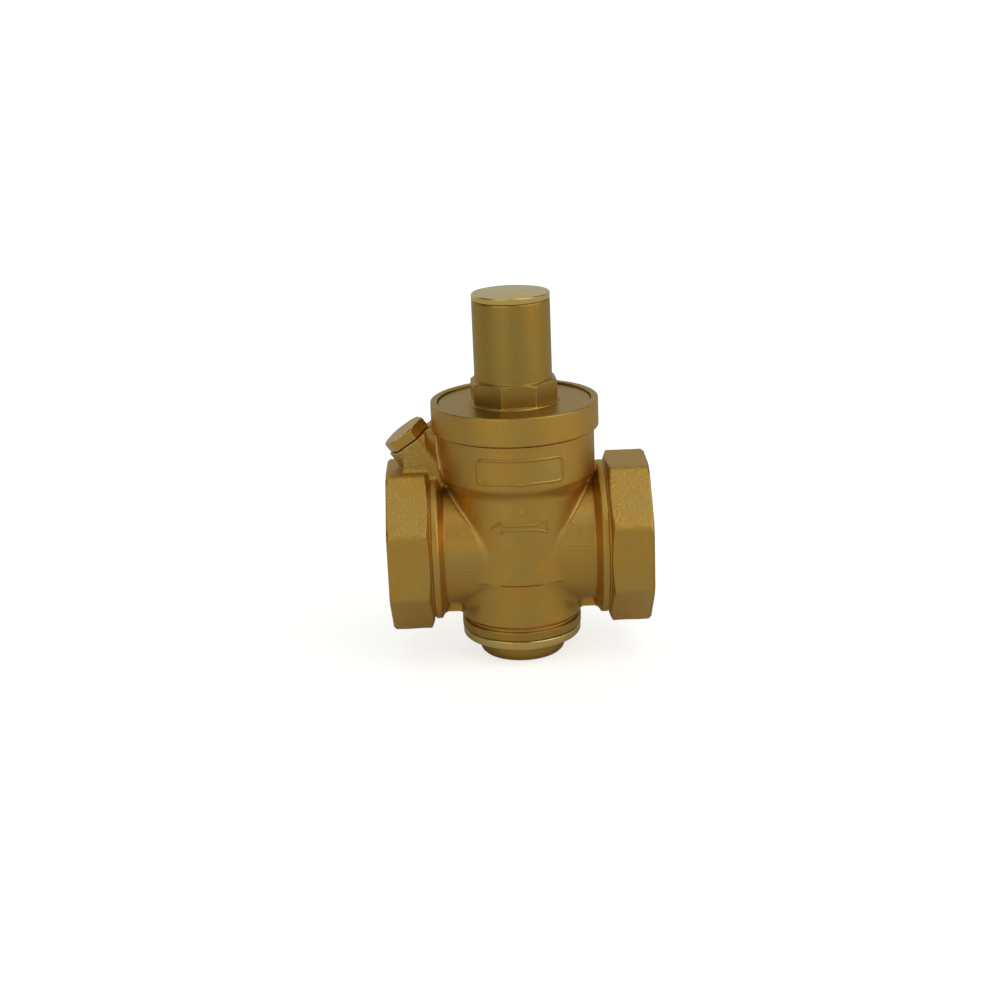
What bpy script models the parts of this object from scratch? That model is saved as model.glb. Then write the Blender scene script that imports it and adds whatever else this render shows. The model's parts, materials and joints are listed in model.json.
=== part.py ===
"""Direct-acting pressure reducing valve, DN40 (G 1 1/2), as an assembly of separate pieces.

The origin is the centre of the valve's underside, on the axis of the spring tube. +Z runs up
the spring tube, +X points out of the inlet and -X out of the outlet. The pieces stand in the
valve's fully open position, with the adjusting screw at its lowest setting.

All sizes below are in millimetres, and all heights are measured from the pipe axis; meshes are
built in metres, and the finished valve is raised onto its underside.
"""

import math

import bmesh
import bpy
from mathutils import Matrix, Vector

MM = 0.001
GAP = 0.3               # clearance between pieces that touch
ROUND = 40              # segments of the body, bonnet and plugs
ROUND_INNER = 28        # segments of the pieces inside
ROUND_SMALL = 20        # segments of holes and shanks
OVERRUN = 1.0           # how far a cutter reaches past the face it opens

# Pipe ends and the body's outside
FACE_TO_FACE = 88.5
END_FLATS = 55.0        # across the flats of the octagonal ends
END_LENGTH = 14.0
END_CORNER_R = 29.77    # across the corners / 2
END_CHAMFER_R = 27.17   # where the chamfer towards the tube starts on the end's inner face
TUBE_R = 21.1
SHOULDER_R = 25.1       # step between tube and bead
SHOULDER_X = 25.0
BEAD_R = 26.3
BEAD_X = (27.1, 29.4)
GROOVE_R = 25.2         # groove between bead and octagon
RIB_TOP = 24.75
RIB_THICKNESS = 6.0
RIB_SPAN = (18.0, 27.0)  # from inside the round body to inside the bead
BODY_R = 24.0
BODY_STEP_Z = -8.7      # the round body narrows to the bottom boss here
BOTTOM_BOSS_R = 20.5
BOTTOM_RIM_R = 20.7
BOTTOM_RIM_Z = (-30.0, -27.0)
UPPER_R = 26.7
UPPER_CHAMFER_Z = (21.4, 24.9)
COLLAR_R = 28.3
COLLAR_Z = (40.5, 50.1)

# Body passages
THREAD_MINOR_R = 22.42  # G 1 1/2, drawn as a plain bore
THREAD_MOUTH_R = 24.2
THREAD_END_X = 28.5
PASSAGE_R = 18.3
PASSAGE_END_X = 19.5
WINDOW_R = 15.5         # opening from a port passage into its chamber
WINDOW_INNER_X = 4.0
LOWER_CHAMBER_R = 16.5
SEAT_WALL_Z = (-4.0, 1.5)
SEAT_HOLE_R = 13.0
UPPER_CHAMBER_R = 17.0
PISTON_BORE_R = 20.5
PISTON_BORE_Z = (22.0, 43.0)
BONNET_BORE_R = 26.0
PLUG_BORE_R = 18.0
PLUG_BORE_TOP = -20.6
PLUG_SEAL_R = 19.45
PLUG_SEAL_TOP = -28.0

# Gauge port: a boss on the outlet side whose axis leans away from the spring tube
GAUGE_FACE = (-38.1, 0.0, 40.5)  # centre of the plug's outer face
GAUGE_TILT = math.radians(35.0)
GAUGE_SEAT = 4.0        # distance from the plug's outer face down to the boss
GAUGE_BOSS_FLATS = 15.6
GAUGE_BOSS_END = 17.0
GAUGE_BORE_R = 6.55
GAUGE_BORE_END = 13.0
GAUGE_PASSAGE_R = 3.0
GAUGE_PASSAGE_END = 30.0
GAUGE_HEX_PHASE = math.radians(-7.5)
GAUGE_FOOT = ((-38.0, -30.5), (-7.4, 7.4), (26.0, 45.0))   # its top is cut by the seat plane
GAUGE_WEB = ((-33.0, -22.0), (-5.0, 5.0), (20.0, 44.0))

# Bonnet
BONNET_DISC_R = 25.75
BONNET_DISC_Z = (43.3, 49.4)
BONNET_FOOT_R = 15.9
BONNET_NUT_FLATS = 28.0
BONNET_NUT_CORNER_R = 15.15
BONNET_NUT_Z = (50.4, 57.3)
BONNET_NUT_PHASE = math.radians(28.0)
CAP_R = 13.08
CAP_TOP = 84.0
SPRING_BORE_R = 11.2
SPRING_BORE_TOP = 66.0
SCREW_BORE_R = 9.3
LID_BORE_R = 9.8
LID_BORE_BOTTOM = 78.5

# Lid
LID_Z = (84.3, 86.2)
LID_SPIGOT_R = 9.5
LID_SPIGOT_BOTTOM = 79.5
LID_GROOVE_Z = (81.0, 83.2)
LID_GROOVE_R = 7.7

# Adjusting screw, spring plate and spring
SCREW_R = 9.0
SCREW_Z = (62.3, 74.3)
SCREW_SOCKET_FLATS = 8.0
SCREW_SOCKET_DEPTH = 6.0
PLATE_R = 10.85
PLATE_Z = (59.0, 62.0)
SPRING_Z = (27.3, 58.7)
SPRING_MEAN_R = 9.1
SPRING_WIRE_R = 1.5
SPRING_ACTIVE_TURNS = 4.5
SPRING_END_PITCH = 3.3

# Piston and stem
PISTON_R = 20.1
PISTON_Z = (22.3, 38.3)
PISTON_POCKET_R = 11.3
PISTON_FLOOR_Z = 27.0
PISTON_HOLE_R = 3.8
PISTON_SEAL_Z = (25.5, 28.5)
PISTON_SEAL_R = 17.5
PISTON_GUIDE_Z = (32.0, 36.0)
PISTON_GUIDE_R = 18.3
STEM_R = 3.5
STEM_SHOULDER_R = 5.5
STEM_SHOULDER_Z = (-10.0, 22.0)
STEM_Z = (-23.4, 33.0)
STEM_NUT_FLATS = 11.0
STEM_NUT_HEIGHT = 4.0

# Disc pack, balancing skirt and seat
DISC_SEAL_Z = (-14.8, -11.8)
DISC_SEAL_R = 13.0
DISC_WASHER_Z = (-11.5, -10.3)
DISC_WASHER_R = 8.5
HOLDER_FLOOR_Z = (-18.0, -15.1)
HOLDER_RIM_TOP = -12.5
HOLDER_RIM_R = 14.5
SKIRT_R = 9.7
SKIRT_BORE_R = 6.8
SKIRT_BOTTOM = -28.5
SKIRT_GROOVE_Z = (-26.8, -24.8)
SKIRT_GROOVE_R = 8.2
SEAT_BORE_R = 10.2
SEAT_FLANGE_R = 15.0
SEAT_FLANGE_Z = (-6.5, -4.3)
SEAT_LIP_Z = -7.5
SEAT_LIP_R = 11.4

# Bottom plug
PLUG_HEAD_R = 14.3
PLUG_HEAD_ROUNDING = 3.5
PLUG_HEAD_BOTTOM = -40.2
PLUG_RING_R = 20.5
PLUG_RING_Z = (-33.0, -30.3)
PLUG_NECK_R = 17.2
PLUG_THREAD_R = 17.7
PLUG_THREAD_Z = (-27.6, -21.4)
PLUG_GUIDE_R = 13.0
PLUG_GUIDE_TOP = -18.5
PLUG_CYLINDER_R = 10.2
PLUG_CYLINDER_BOTTOM = -32.0
PLUG_SOCKET_FLATS = 12.0
PLUG_SOCKET_DEPTH = 5.0

# Gauge plug
GAUGE_HEX_FLATS = 14.2
GAUGE_HEX_THICKNESS = 2.8
GAUGE_THREAD_R = 6.25
GAUGE_THREAD_END = 11.8
GASKET_SPAN = (3.05, 3.75)
GASKET_RADII = (6.5, 7.5)


# --------------------------------------------------------------------------- shape helpers

def clear_scene():
    """Empty the scene, so that the script gives the same model each run."""
    for obj in list(bpy.data.objects):
        bpy.data.objects.remove(obj, do_unlink=True)


def object_from_bmesh(name, shape):
    """Turn a closed bmesh in millimetres into an object in metres, with faces pointing out."""
    bmesh.ops.recalc_face_normals(shape, faces=shape.faces)
    bmesh.ops.scale(shape, vec=(MM, MM, MM), verts=shape.verts)
    mesh = bpy.data.meshes.new(name)
    shape.to_mesh(mesh)
    shape.free()
    obj = bpy.data.objects.new(name, mesh)
    bpy.context.scene.collection.objects.link(obj)
    return obj


def lathe(name, outline, segments=ROUND_INNER):
    """Turn a closed outline of (radius, z) points about the Z axis."""
    shape = bmesh.new()
    rings = []
    for radius, z in outline:
        if radius == 0.0:
            rings.append([shape.verts.new((0.0, 0.0, z))])
            continue
        angles = [2.0 * math.pi * k / segments for k in range(segments)]
        rings.append([shape.verts.new((radius * math.cos(a), radius * math.sin(a), z)) for a in angles])
    for lower, upper in zip(rings, rings[1:] + rings[:1]):
        if len(lower) == 1 and len(upper) == 1:
            continue
        for k in range(segments):
            n = (k + 1) % segments
            if len(lower) == 1:
                shape.faces.new((lower[0], upper[k], upper[n]))
            elif len(upper) == 1:
                shape.faces.new((lower[k], lower[n], upper[0]))
            else:
                shape.faces.new((lower[k], lower[n], upper[n], upper[k]))
    return object_from_bmesh(name, shape)


def prism(name, sides, across_flats, z_low, z_high, phase=0.0):
    """Upright regular prism; phase turns its first corner from +X."""
    corner_r = across_flats / 2.0 / math.cos(math.pi / sides)
    outline = [(0.0, z_low), (corner_r, z_low), (corner_r, z_high), (0.0, z_high)]
    return move(lathe(name, outline, sides), Matrix.Rotation(phase, 4, "Z"))


def box(name, x_span, y_span, z_span):
    """Upright box between the given limits."""
    shape = bmesh.new()
    bmesh.ops.create_cube(shape, size=1.0)
    for vert in shape.verts:
        for axis, span in enumerate((x_span, y_span, z_span)):
            vert.co[axis] = span[0] if vert.co[axis] < 0.0 else span[1]
    return object_from_bmesh(name, shape)


def move(obj, matrix):
    """Apply a matrix to an object's mesh. The matrix is in metres."""
    obj.data.transform(matrix)
    return obj


def along_x(obj, side):
    """Lay an upright shape along the pipe axis: its +Z points to +X (side 1) or -X (side -1)."""
    return move(obj, Matrix.Rotation(side * math.pi / 2.0, 4, "Y"))


def gauge_matrix():
    """Local +Z points out of the gauge port, with the origin at the plug's outer face."""
    face = Vector(GAUGE_FACE) * MM
    return Matrix.Translation(face) @ Matrix.Rotation(-GAUGE_TILT, 4, "Y")


def combine(target, tool, operation):
    """Apply one exact boolean to target, and delete the tool."""
    modifier = target.modifiers.new(operation, "BOOLEAN")
    modifier.operation = operation
    modifier.solver = "EXACT"
    modifier.object = tool
    depsgraph = bpy.context.evaluated_depsgraph_get()
    result = bpy.data.meshes.new_from_object(target.evaluated_get(depsgraph))
    target.modifiers.clear()
    target.data = result
    bpy.data.objects.remove(tool, do_unlink=True)
    return target


def fuse(target, *tools):
    """Add each tool's volume to target."""
    for tool in tools:
        combine(target, tool, "UNION")
    return target


def carve(target, *tools):
    """Cut each tool's volume out of target."""
    for tool in tools:
        combine(target, tool, "DIFFERENCE")
    return target


def material(name, colour, roughness, metallic):
    """Principled material with the piece's colour and finish."""
    result = bpy.data.materials.new(name)
    result.use_nodes = True
    shader = result.node_tree.nodes["Principled BSDF"]
    shader.inputs["Base Color"].default_value = (*colour, 1.0)
    shader.inputs["Roughness"].default_value = roughness
    shader.inputs["Metallic"].default_value = metallic
    result.diffuse_color = (*colour, 1.0)
    return result


def body_axis(name, height):
    """Empty on the valve's vertical axis that carries one moving body."""
    empty = bpy.data.objects.new(name, None)
    empty.location = (0.0, 0.0, height * MM)
    bpy.context.scene.collection.objects.link(empty)
    return empty


def finish(obj, look, base=0.0, carrier=None):
    """Name, material, smooth shading, origin at height base on the axis, and parent."""
    obj.data.name = obj.name
    obj.data.materials.clear()
    obj.data.materials.append(look)
    obj.data.shade_smooth()
    obj.data.set_sharp_from_angle(angle=math.radians(30.0))
    move(obj, Matrix.Translation((0.0, 0.0, -base * MM)))
    obj.location = (0.0, 0.0, base * MM)
    if carrier is not None:
        obj.parent = carrier
        obj.location.z -= carrier.location.z
    return obj


def ring_outline(centre_r, centre_z, wire_r, points=6):
    """Round cross-section of an O-ring."""
    angles = [2.0 * math.pi * k / points for k in range(points)]
    return [(centre_r + wire_r * math.cos(a), centre_z + wire_r * math.sin(a)) for a in angles]


def o_ring(name, inner_r, outer_r, centre_z):
    """O-ring between two radii."""
    wire_r = (outer_r - inner_r) / 2.0
    return lathe(name, ring_outline(inner_r + wire_r, centre_z, wire_r))


def nut(name, flats, hole_r, z_low, z_high):
    """Hexagon nut with a plain hole."""
    shape = prism(name, 6, flats, z_low, z_high)
    low, high = z_low - OVERRUN, z_high + OVERRUN
    hole = [(0.0, low), (hole_r, low), (hole_r, high), (0.0, high)]
    return carve(shape, lathe("hole", hole, ROUND_SMALL))


# --------------------------------------------------------------------------- fixed pieces

def pipe_end(side):
    """Octagonal end: a prism clipped by the turned chamfers at both of its faces."""
    inner, outer = FACE_TO_FACE / 2.0 - END_LENGTH, FACE_TO_FACE / 2.0
    chamfer = 1.0
    turned = [
        (0.0, inner), (END_CHAMFER_R, inner), (END_CORNER_R + 0.2, inner + chamfer),
        (END_CORNER_R + 0.2, outer - chamfer), (END_CORNER_R - 1.2, outer), (0.0, outer),
    ]
    octagon = prism("octagon", 8, END_FLATS, inner - OVERRUN, outer + OVERRUN, math.pi / 8.0)
    return along_x(combine(octagon, lathe("turned", turned, ROUND), "INTERSECT"), side)


def tube():
    """Tube along the pipe axis with a shoulder and a rounded bead behind each octagonal end."""
    groove_x = FACE_TO_FACE / 2.0 - END_LENGTH + OVERRUN
    inner, outer = BEAD_X
    bevel = 0.6
    half = [
        (TUBE_R, 0.0), (TUBE_R, SHOULDER_X), (SHOULDER_R - bevel, SHOULDER_X),
        (SHOULDER_R, SHOULDER_X + bevel),
        (SHOULDER_R, inner - 0.2), (BEAD_R - bevel, inner), (BEAD_R, inner + bevel), (BEAD_R, outer - bevel),
        (BEAD_R - bevel, outer), (GROOVE_R, outer), (GROOVE_R, groove_x), (0.0, groove_x),
    ]
    mirrored = [(r, -x) for r, x in reversed(half[1:])]
    return along_x(lathe("tube", mirrored + half[1:], ROUND), 1)


def round_body():
    """Vertical body: bottom rim, boss, round body, upper cylinder and bonnet collar."""
    rim_low, rim_high = BOTTOM_RIM_Z
    collar_low, collar_high = COLLAR_Z
    outline = [
        (0.0, rim_low), (BOTTOM_RIM_R, rim_low), (BOTTOM_RIM_R, rim_high),
        (BOTTOM_BOSS_R - 0.6, rim_high + 0.4), (BOTTOM_BOSS_R, rim_high + 1.2),
        (BOTTOM_BOSS_R, BODY_STEP_Z - 0.6), (BODY_R, BODY_STEP_Z),
        (BODY_R, UPPER_CHAMFER_Z[0]), (UPPER_R, UPPER_CHAMFER_Z[1]), (UPPER_R, collar_low),
        (COLLAR_R - 0.9, collar_low + 0.2), (COLLAR_R, collar_low + 1.7), (COLLAR_R, collar_high - 0.3),
        (COLLAR_R - 0.3, collar_high), (0.0, collar_high),
    ]
    return lathe("round_body", outline, ROUND)


def gauge_boss():
    """Six-sided boss for the gauge port, with its foot on the octagon and a web to the body."""
    boss = prism("boss", 6, GAUGE_BOSS_FLATS, -GAUGE_BOSS_END, OVERRUN, GAUGE_HEX_PHASE)
    move(boss, gauge_matrix())
    fuse(boss, box("foot", *GAUGE_FOOT), box("web", *GAUGE_WEB))
    above_seat = box("above_seat", (-40.0, 40.0), (-40.0, 40.0), (-GAUGE_SEAT, 40.0))
    return carve(boss, move(above_seat, gauge_matrix()))


def ribs():
    """Flat ribs above and below the tube, from each bead to the round body."""
    inner, outer = RIB_SPAN
    half = RIB_THICKNESS / 2.0
    return [
        box("rib", sorted((side * inner, side * outer)), (-half, half), (-RIB_TOP, RIB_TOP))
        for side in (1, -1)
    ]


def vertical_core():
    """Everything bored along the vertical axis, from the plug thread up to the bonnet thread."""
    return lathe("vertical_core", [
        (0.0, BOTTOM_RIM_Z[0] - OVERRUN), (PLUG_SEAL_R, BOTTOM_RIM_Z[0] - OVERRUN),
        (PLUG_SEAL_R, PLUG_SEAL_TOP), (PLUG_BORE_R, PLUG_SEAL_TOP), (PLUG_BORE_R, PLUG_BORE_TOP),
        (LOWER_CHAMBER_R, PLUG_BORE_TOP),
        (LOWER_CHAMBER_R, SEAT_WALL_Z[0]), (SEAT_HOLE_R, SEAT_WALL_Z[0]), (SEAT_HOLE_R, SEAT_WALL_Z[1]),
        (UPPER_CHAMBER_R, SEAT_WALL_Z[1]), (UPPER_CHAMBER_R, PISTON_BORE_Z[0]),
        (PISTON_BORE_R, PISTON_BORE_Z[0]),
        (PISTON_BORE_R, PISTON_BORE_Z[1]), (BONNET_BORE_R, PISTON_BORE_Z[1]),
        (BONNET_BORE_R, COLLAR_Z[1] + OVERRUN), (0.0, COLLAR_Z[1] + OVERRUN),
    ], ROUND)


def port_core(side):
    """Threaded mouth and passage of one pipe end."""
    mouth = FACE_TO_FACE / 2.0
    flare = THREAD_MOUTH_R - THREAD_MINOR_R
    return along_x(lathe("port_core", [
        (0.0, PASSAGE_END_X), (PASSAGE_R, PASSAGE_END_X), (PASSAGE_R, THREAD_END_X),
        (THREAD_MINOR_R, THREAD_END_X), (THREAD_MINOR_R, mouth - flare), (THREAD_MOUTH_R, mouth),
        (THREAD_MOUTH_R, mouth + OVERRUN), (0.0, mouth + OVERRUN),
    ], ROUND), side)


def window_core(side):
    """Opening between a port passage and its chamber: inlet below the seat wall, outlet above."""
    inner, outer = WINDOW_INNER_X, PASSAGE_END_X + OVERRUN
    profile = [(0.0, inner), (WINDOW_R, inner), (WINDOW_R, outer), (0.0, outer)]
    window = along_x(lathe("window_core", profile), side)
    low, high = SEAT_WALL_Z
    clearance = 0.6
    z_span = (-40.0, low - clearance) if side > 0 else (high + clearance, 40.0)
    return combine(window, box("half", (-40.0, 40.0), (-40.0, 40.0), z_span), "INTERSECT")


def gauge_core():
    """Threaded hole of the gauge port and the passage down into the outlet."""
    return move(lathe("gauge_core", [
        (0.0, -GAUGE_PASSAGE_END), (GAUGE_PASSAGE_R, -GAUGE_PASSAGE_END), (GAUGE_PASSAGE_R, -GAUGE_BORE_END),
        (GAUGE_BORE_R, -GAUGE_BORE_END), (GAUGE_BORE_R, OVERRUN), (0.0, OVERRUN),
    ], ROUND_SMALL), gauge_matrix())


def valve_body(look):
    """Brass body with its passages."""
    body = round_body()
    body.name = "valve_body"
    fuse(body, tube(), pipe_end(1), pipe_end(-1), *ribs(), gauge_boss())
    carve(body, vertical_core(), port_core(1), port_core(-1), window_core(1), window_core(-1), gauge_core())
    return finish(body, look)


def bonnet(look):
    """Disc that screws into the collar, octagon for the spanner, and the spring tube."""
    disc_low, disc_high = BONNET_DISC_Z
    nut_low, nut_high = BONNET_NUT_Z
    bevel = 0.3
    shape = lathe("bonnet", [
        (0.0, disc_low), (BONNET_DISC_R - bevel, disc_low), (BONNET_DISC_R, disc_low + bevel),
        (BONNET_DISC_R, disc_high - bevel), (BONNET_DISC_R - bevel, disc_high), (BONNET_FOOT_R, disc_high),
        (BONNET_NUT_CORNER_R + 0.2, nut_low), (CAP_R, nut_low), (CAP_R, CAP_TOP - bevel),
        (CAP_R - bevel, CAP_TOP), (0.0, CAP_TOP),
    ], ROUND)
    chamfered = lathe("chamfered", [
        (0.0, disc_high), (BONNET_NUT_CORNER_R + 0.1, disc_high), (BONNET_NUT_CORNER_R + 0.1, nut_high - 1.0),
        (BONNET_NUT_FLATS / 2.0, nut_high), (0.0, nut_high),
    ], ROUND)
    phase = BONNET_NUT_PHASE - math.pi / 2.0
    octagon = prism("octagon", 8, BONNET_NUT_FLATS, disc_high - 0.5, nut_high + OVERRUN, phase)
    fuse(shape, combine(octagon, chamfered, "INTERSECT"))
    carve(shape, lathe("bore", [
        (0.0, disc_low - OVERRUN), (SPRING_BORE_R, disc_low - OVERRUN), (SPRING_BORE_R, SPRING_BORE_TOP),
        (SCREW_BORE_R, SPRING_BORE_TOP), (SCREW_BORE_R, LID_BORE_BOTTOM), (LID_BORE_R, LID_BORE_BOTTOM),
        (LID_BORE_R, CAP_TOP + OVERRUN), (0.0, CAP_TOP + OVERRUN),
    ], ROUND))
    return finish(shape, look, disc_low)


def seat_ring(look):
    """Stainless seat in the wall between the chambers, with a raised lip facing down."""
    return finish(lathe("seat_ring", [
        (SEAT_BORE_R, SEAT_LIP_Z), (SEAT_LIP_R, SEAT_LIP_Z), (SEAT_LIP_R + 0.6, SEAT_FLANGE_Z[0]),
        (SEAT_FLANGE_R, SEAT_FLANGE_Z[0]), (SEAT_FLANGE_R, SEAT_FLANGE_Z[1]),
        (SEAT_HOLE_R - GAP, SEAT_FLANGE_Z[1]), (SEAT_HOLE_R - GAP, SEAT_WALL_Z[1] - GAP),
        (SEAT_BORE_R, SEAT_WALL_Z[1] - GAP),
    ]), look, SEAT_LIP_Z)


def bottom_plug(look):
    """Screwed plug with a polished ring, a round head, and the cylinder of the balancing skirt."""
    ring_low, ring_high = PLUG_RING_Z
    thread_low, thread_high = PLUG_THREAD_Z
    bevel = 0.5
    shoulder = PLUG_HEAD_ROUNDING * (1.0 - math.sqrt(0.5))
    shape = lathe("bottom_plug", [
        (0.0, PLUG_HEAD_BOTTOM), (PLUG_HEAD_R - PLUG_HEAD_ROUNDING, PLUG_HEAD_BOTTOM),
        (PLUG_HEAD_R - shoulder, PLUG_HEAD_BOTTOM + shoulder),
        (PLUG_HEAD_R, PLUG_HEAD_BOTTOM + PLUG_HEAD_ROUNDING), (PLUG_HEAD_R, ring_low),
        (PLUG_RING_R - bevel, ring_low),
        (PLUG_RING_R, ring_low + bevel), (PLUG_RING_R, ring_high - bevel), (PLUG_RING_R - bevel, ring_high),
        (PLUG_NECK_R, ring_high), (PLUG_NECK_R, thread_low), (PLUG_THREAD_R, thread_low + bevel),
        (PLUG_THREAD_R, thread_high - bevel), (PLUG_THREAD_R - bevel, thread_high),
        (PLUG_GUIDE_R, thread_high),
        (PLUG_GUIDE_R, PLUG_GUIDE_TOP), (PLUG_CYLINDER_R + bevel, PLUG_GUIDE_TOP),
        (PLUG_CYLINDER_R, PLUG_GUIDE_TOP - bevel), (PLUG_CYLINDER_R, PLUG_CYLINDER_BOTTOM),
        (0.0, PLUG_CYLINDER_BOTTOM),
    ], ROUND)
    socket_top = PLUG_HEAD_BOTTOM + PLUG_SOCKET_DEPTH
    socket = prism("socket", 6, PLUG_SOCKET_FLATS, PLUG_HEAD_BOTTOM - OVERRUN, socket_top)
    return finish(carve(shape, socket), look, PLUG_HEAD_BOTTOM)


def gauge_plug(look):
    """Hexagon-headed plug of the gauge port; its origin is the centre of its outer face."""
    hexagon = prism("gauge_plug", 6, GAUGE_HEX_FLATS, -GAUGE_HEX_THICKNESS, OVERRUN, GAUGE_HEX_PHASE)
    corner_r = GAUGE_HEX_FLATS / math.sqrt(3.0)
    turned = lathe("turned", [
        (0.0, -GAUGE_HEX_THICKNESS - OVERRUN), (corner_r + OVERRUN, -GAUGE_HEX_THICKNESS - OVERRUN),
        (corner_r + OVERRUN, -0.6), (corner_r - 0.4, 0.0), (0.0, 0.0),
    ], ROUND_SMALL)
    combine(hexagon, turned, "INTERSECT")
    neck_r, neck_end = GAUGE_THREAD_R - 0.2, GAUGE_SEAT + 0.5
    shank = lathe("shank", [
        (0.0, -GAUGE_THREAD_END), (GAUGE_THREAD_R - 0.5, -GAUGE_THREAD_END),
        (GAUGE_THREAD_R, -GAUGE_THREAD_END + 0.5), (GAUGE_THREAD_R, -neck_end - 0.2), (neck_r, -neck_end),
        (neck_r, -GAUGE_HEX_THICKNESS / 2.0), (0.0, -GAUGE_HEX_THICKNESS / 2.0),
    ], ROUND_SMALL)
    plug = finish(fuse(hexagon, shank), look)
    plug.matrix_world = gauge_matrix()
    return plug


def gauge_plug_gasket(look):
    """Flat sealing washer under the gauge plug's head."""
    inner_r, outer_r = GASKET_RADII
    near, far = GASKET_SPAN
    washer = [(inner_r, -far), (outer_r, -far), (outer_r, -near), (inner_r, -near)]
    gasket = finish(lathe("gauge_plug_gasket", washer), look)
    gasket.matrix_world = gauge_matrix()
    return gasket


def bottom_plug_o_ring(look):
    """Seal between the bottom plug's neck and the body."""
    centre = (PLUG_SEAL_TOP + PLUG_RING_Z[1]) / 2.0
    return finish(o_ring("bottom_plug_o_ring", PLUG_NECK_R + GAP, PLUG_SEAL_R - GAP, centre), look)


# --------------------------------------------------------------------------- lid

def lid(look, carrier):
    """Flat lid with a spigot and an O-ring groove."""
    low, high = LID_Z
    groove_low, groove_high = LID_GROOVE_Z
    bevel = 0.3
    return finish(lathe("lid", [
        (0.0, LID_SPIGOT_BOTTOM), (LID_SPIGOT_R - bevel, LID_SPIGOT_BOTTOM),
        (LID_SPIGOT_R, LID_SPIGOT_BOTTOM + bevel), (LID_SPIGOT_R, groove_low), (LID_GROOVE_R, groove_low),
        (LID_GROOVE_R, groove_high),
        (LID_SPIGOT_R, groove_high), (LID_SPIGOT_R, low), (CAP_R, low), (CAP_R, high - bevel),
        (CAP_R - bevel, high), (0.0, high),
    ], ROUND), look, low, carrier)


def lid_o_ring(look, carrier):
    """O-ring that grips the spring tube."""
    centre = sum(LID_GROOVE_Z) / 2.0
    return finish(o_ring("lid_o_ring", LID_GROOVE_R + GAP, LID_BORE_R - 0.2, centre), look, centre, carrier)


# --------------------------------------------------------------------------- spring setting

def adjusting_screw(look, carrier):
    """Grub screw with a hexagon socket."""
    low, high = SCREW_Z
    bevel = 0.8
    shape = lathe("adjusting_screw", [
        (0.0, low), (SCREW_R - bevel, low), (SCREW_R, low + bevel), (SCREW_R, high - bevel),
        (SCREW_R - bevel, high), (0.0, high),
    ])
    socket = prism("socket", 6, SCREW_SOCKET_FLATS, high - SCREW_SOCKET_DEPTH, high + OVERRUN)
    return finish(carve(shape, socket), look, low, carrier)


def upper_spring_plate(look, carrier):
    """Plate between the adjusting screw and the spring, with a collar inside the coil."""
    low, high = PLATE_Z
    collar_r, collar_depth = SPRING_MEAN_R - SPRING_WIRE_R - 0.6, 2.0
    return finish(lathe("upper_spring_plate", [
        (0.0, low - collar_depth), (collar_r, low - collar_depth), (collar_r, low), (PLATE_R, low),
        (PLATE_R, high), (0.0, high),
    ]), look, low, carrier)


def spring_centre(turn, total_turns):
    """Height above the lower end of the wire's centre line, with one closed turn at each end."""
    height = SPRING_Z[1] - SPRING_Z[0] - 2.0 * SPRING_WIRE_R
    pitch = (height - 2.0 * SPRING_END_PITCH) / SPRING_ACTIVE_TURNS
    if turn <= 1.0:
        return SPRING_END_PITCH * turn
    if turn >= total_turns - 1.0:
        return height - SPRING_END_PITCH * (total_turns - turn)
    return SPRING_END_PITCH + pitch * (turn - 1.0)


def spring(look, carrier):
    """Round wire swept along a helix, with capped ends."""
    total_turns = SPRING_ACTIVE_TURNS + 2.0
    steps_per_turn, wire_sides = 14, 6
    steps = round(total_turns * steps_per_turn)
    shape = bmesh.new()
    rings = []
    for step in range(steps + 1):
        turn = step / steps_per_turn
        angle = 2.0 * math.pi * turn
        centre_z = SPRING_Z[0] + SPRING_WIRE_R + spring_centre(turn, total_turns)
        outward = Vector((math.cos(angle), math.sin(angle), 0.0))
        ring = []
        for k in range(wire_sides):
            around = 2.0 * math.pi * k / wire_sides
            offset = outward * math.cos(around) + Vector((0.0, 0.0, math.sin(around)))
            centre = outward * SPRING_MEAN_R + Vector((0.0, 0.0, centre_z))
            ring.append(shape.verts.new(centre + offset * SPRING_WIRE_R))
        rings.append(ring)
    for ring, following in zip(rings, rings[1:]):
        for k in range(wire_sides):
            n = (k + 1) % wire_sides
            shape.faces.new((ring[k], ring[n], following[n], following[k]))
    shape.faces.new(rings[0])
    shape.faces.new(rings[-1])
    return finish(object_from_bmesh("spring", shape), look, SPRING_Z[0], carrier)


# --------------------------------------------------------------------------- piston and valve disc

def piston(look, carrier):
    """Cup-shaped piston with a seal groove, a guide groove and the spring's pocket."""
    low, high = PISTON_Z
    seal_low, seal_high = PISTON_SEAL_Z
    guide_low, guide_high = PISTON_GUIDE_Z
    bevel = 0.5
    return finish(lathe("piston", [
        (PISTON_HOLE_R, low), (PISTON_R - bevel, low), (PISTON_R, low + bevel), (PISTON_R, seal_low),
        (PISTON_SEAL_R, seal_low), (PISTON_SEAL_R, seal_high), (PISTON_R, seal_high), (PISTON_R, guide_low),
        (PISTON_GUIDE_R, guide_low), (PISTON_GUIDE_R, guide_high), (PISTON_R, guide_high),
        (PISTON_R, high - bevel),
        (PISTON_R - bevel, high), (PISTON_POCKET_R, high), (PISTON_POCKET_R, PISTON_FLOOR_Z),
        (PISTON_HOLE_R, PISTON_FLOOR_Z),
    ]), look, low, carrier)


def piston_guide_ring(look, carrier):
    """Plastic ring that guides the piston in its bore."""
    low, high = PISTON_GUIDE_Z[0] + GAP, PISTON_GUIDE_Z[1] - GAP
    inner_r, outer_r = PISTON_GUIDE_R + GAP, PISTON_BORE_R - 0.2
    ring = [(inner_r, low), (outer_r, low), (outer_r, high), (inner_r, high)]
    return finish(lathe("piston_guide_ring", ring), look, low, carrier)


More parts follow.
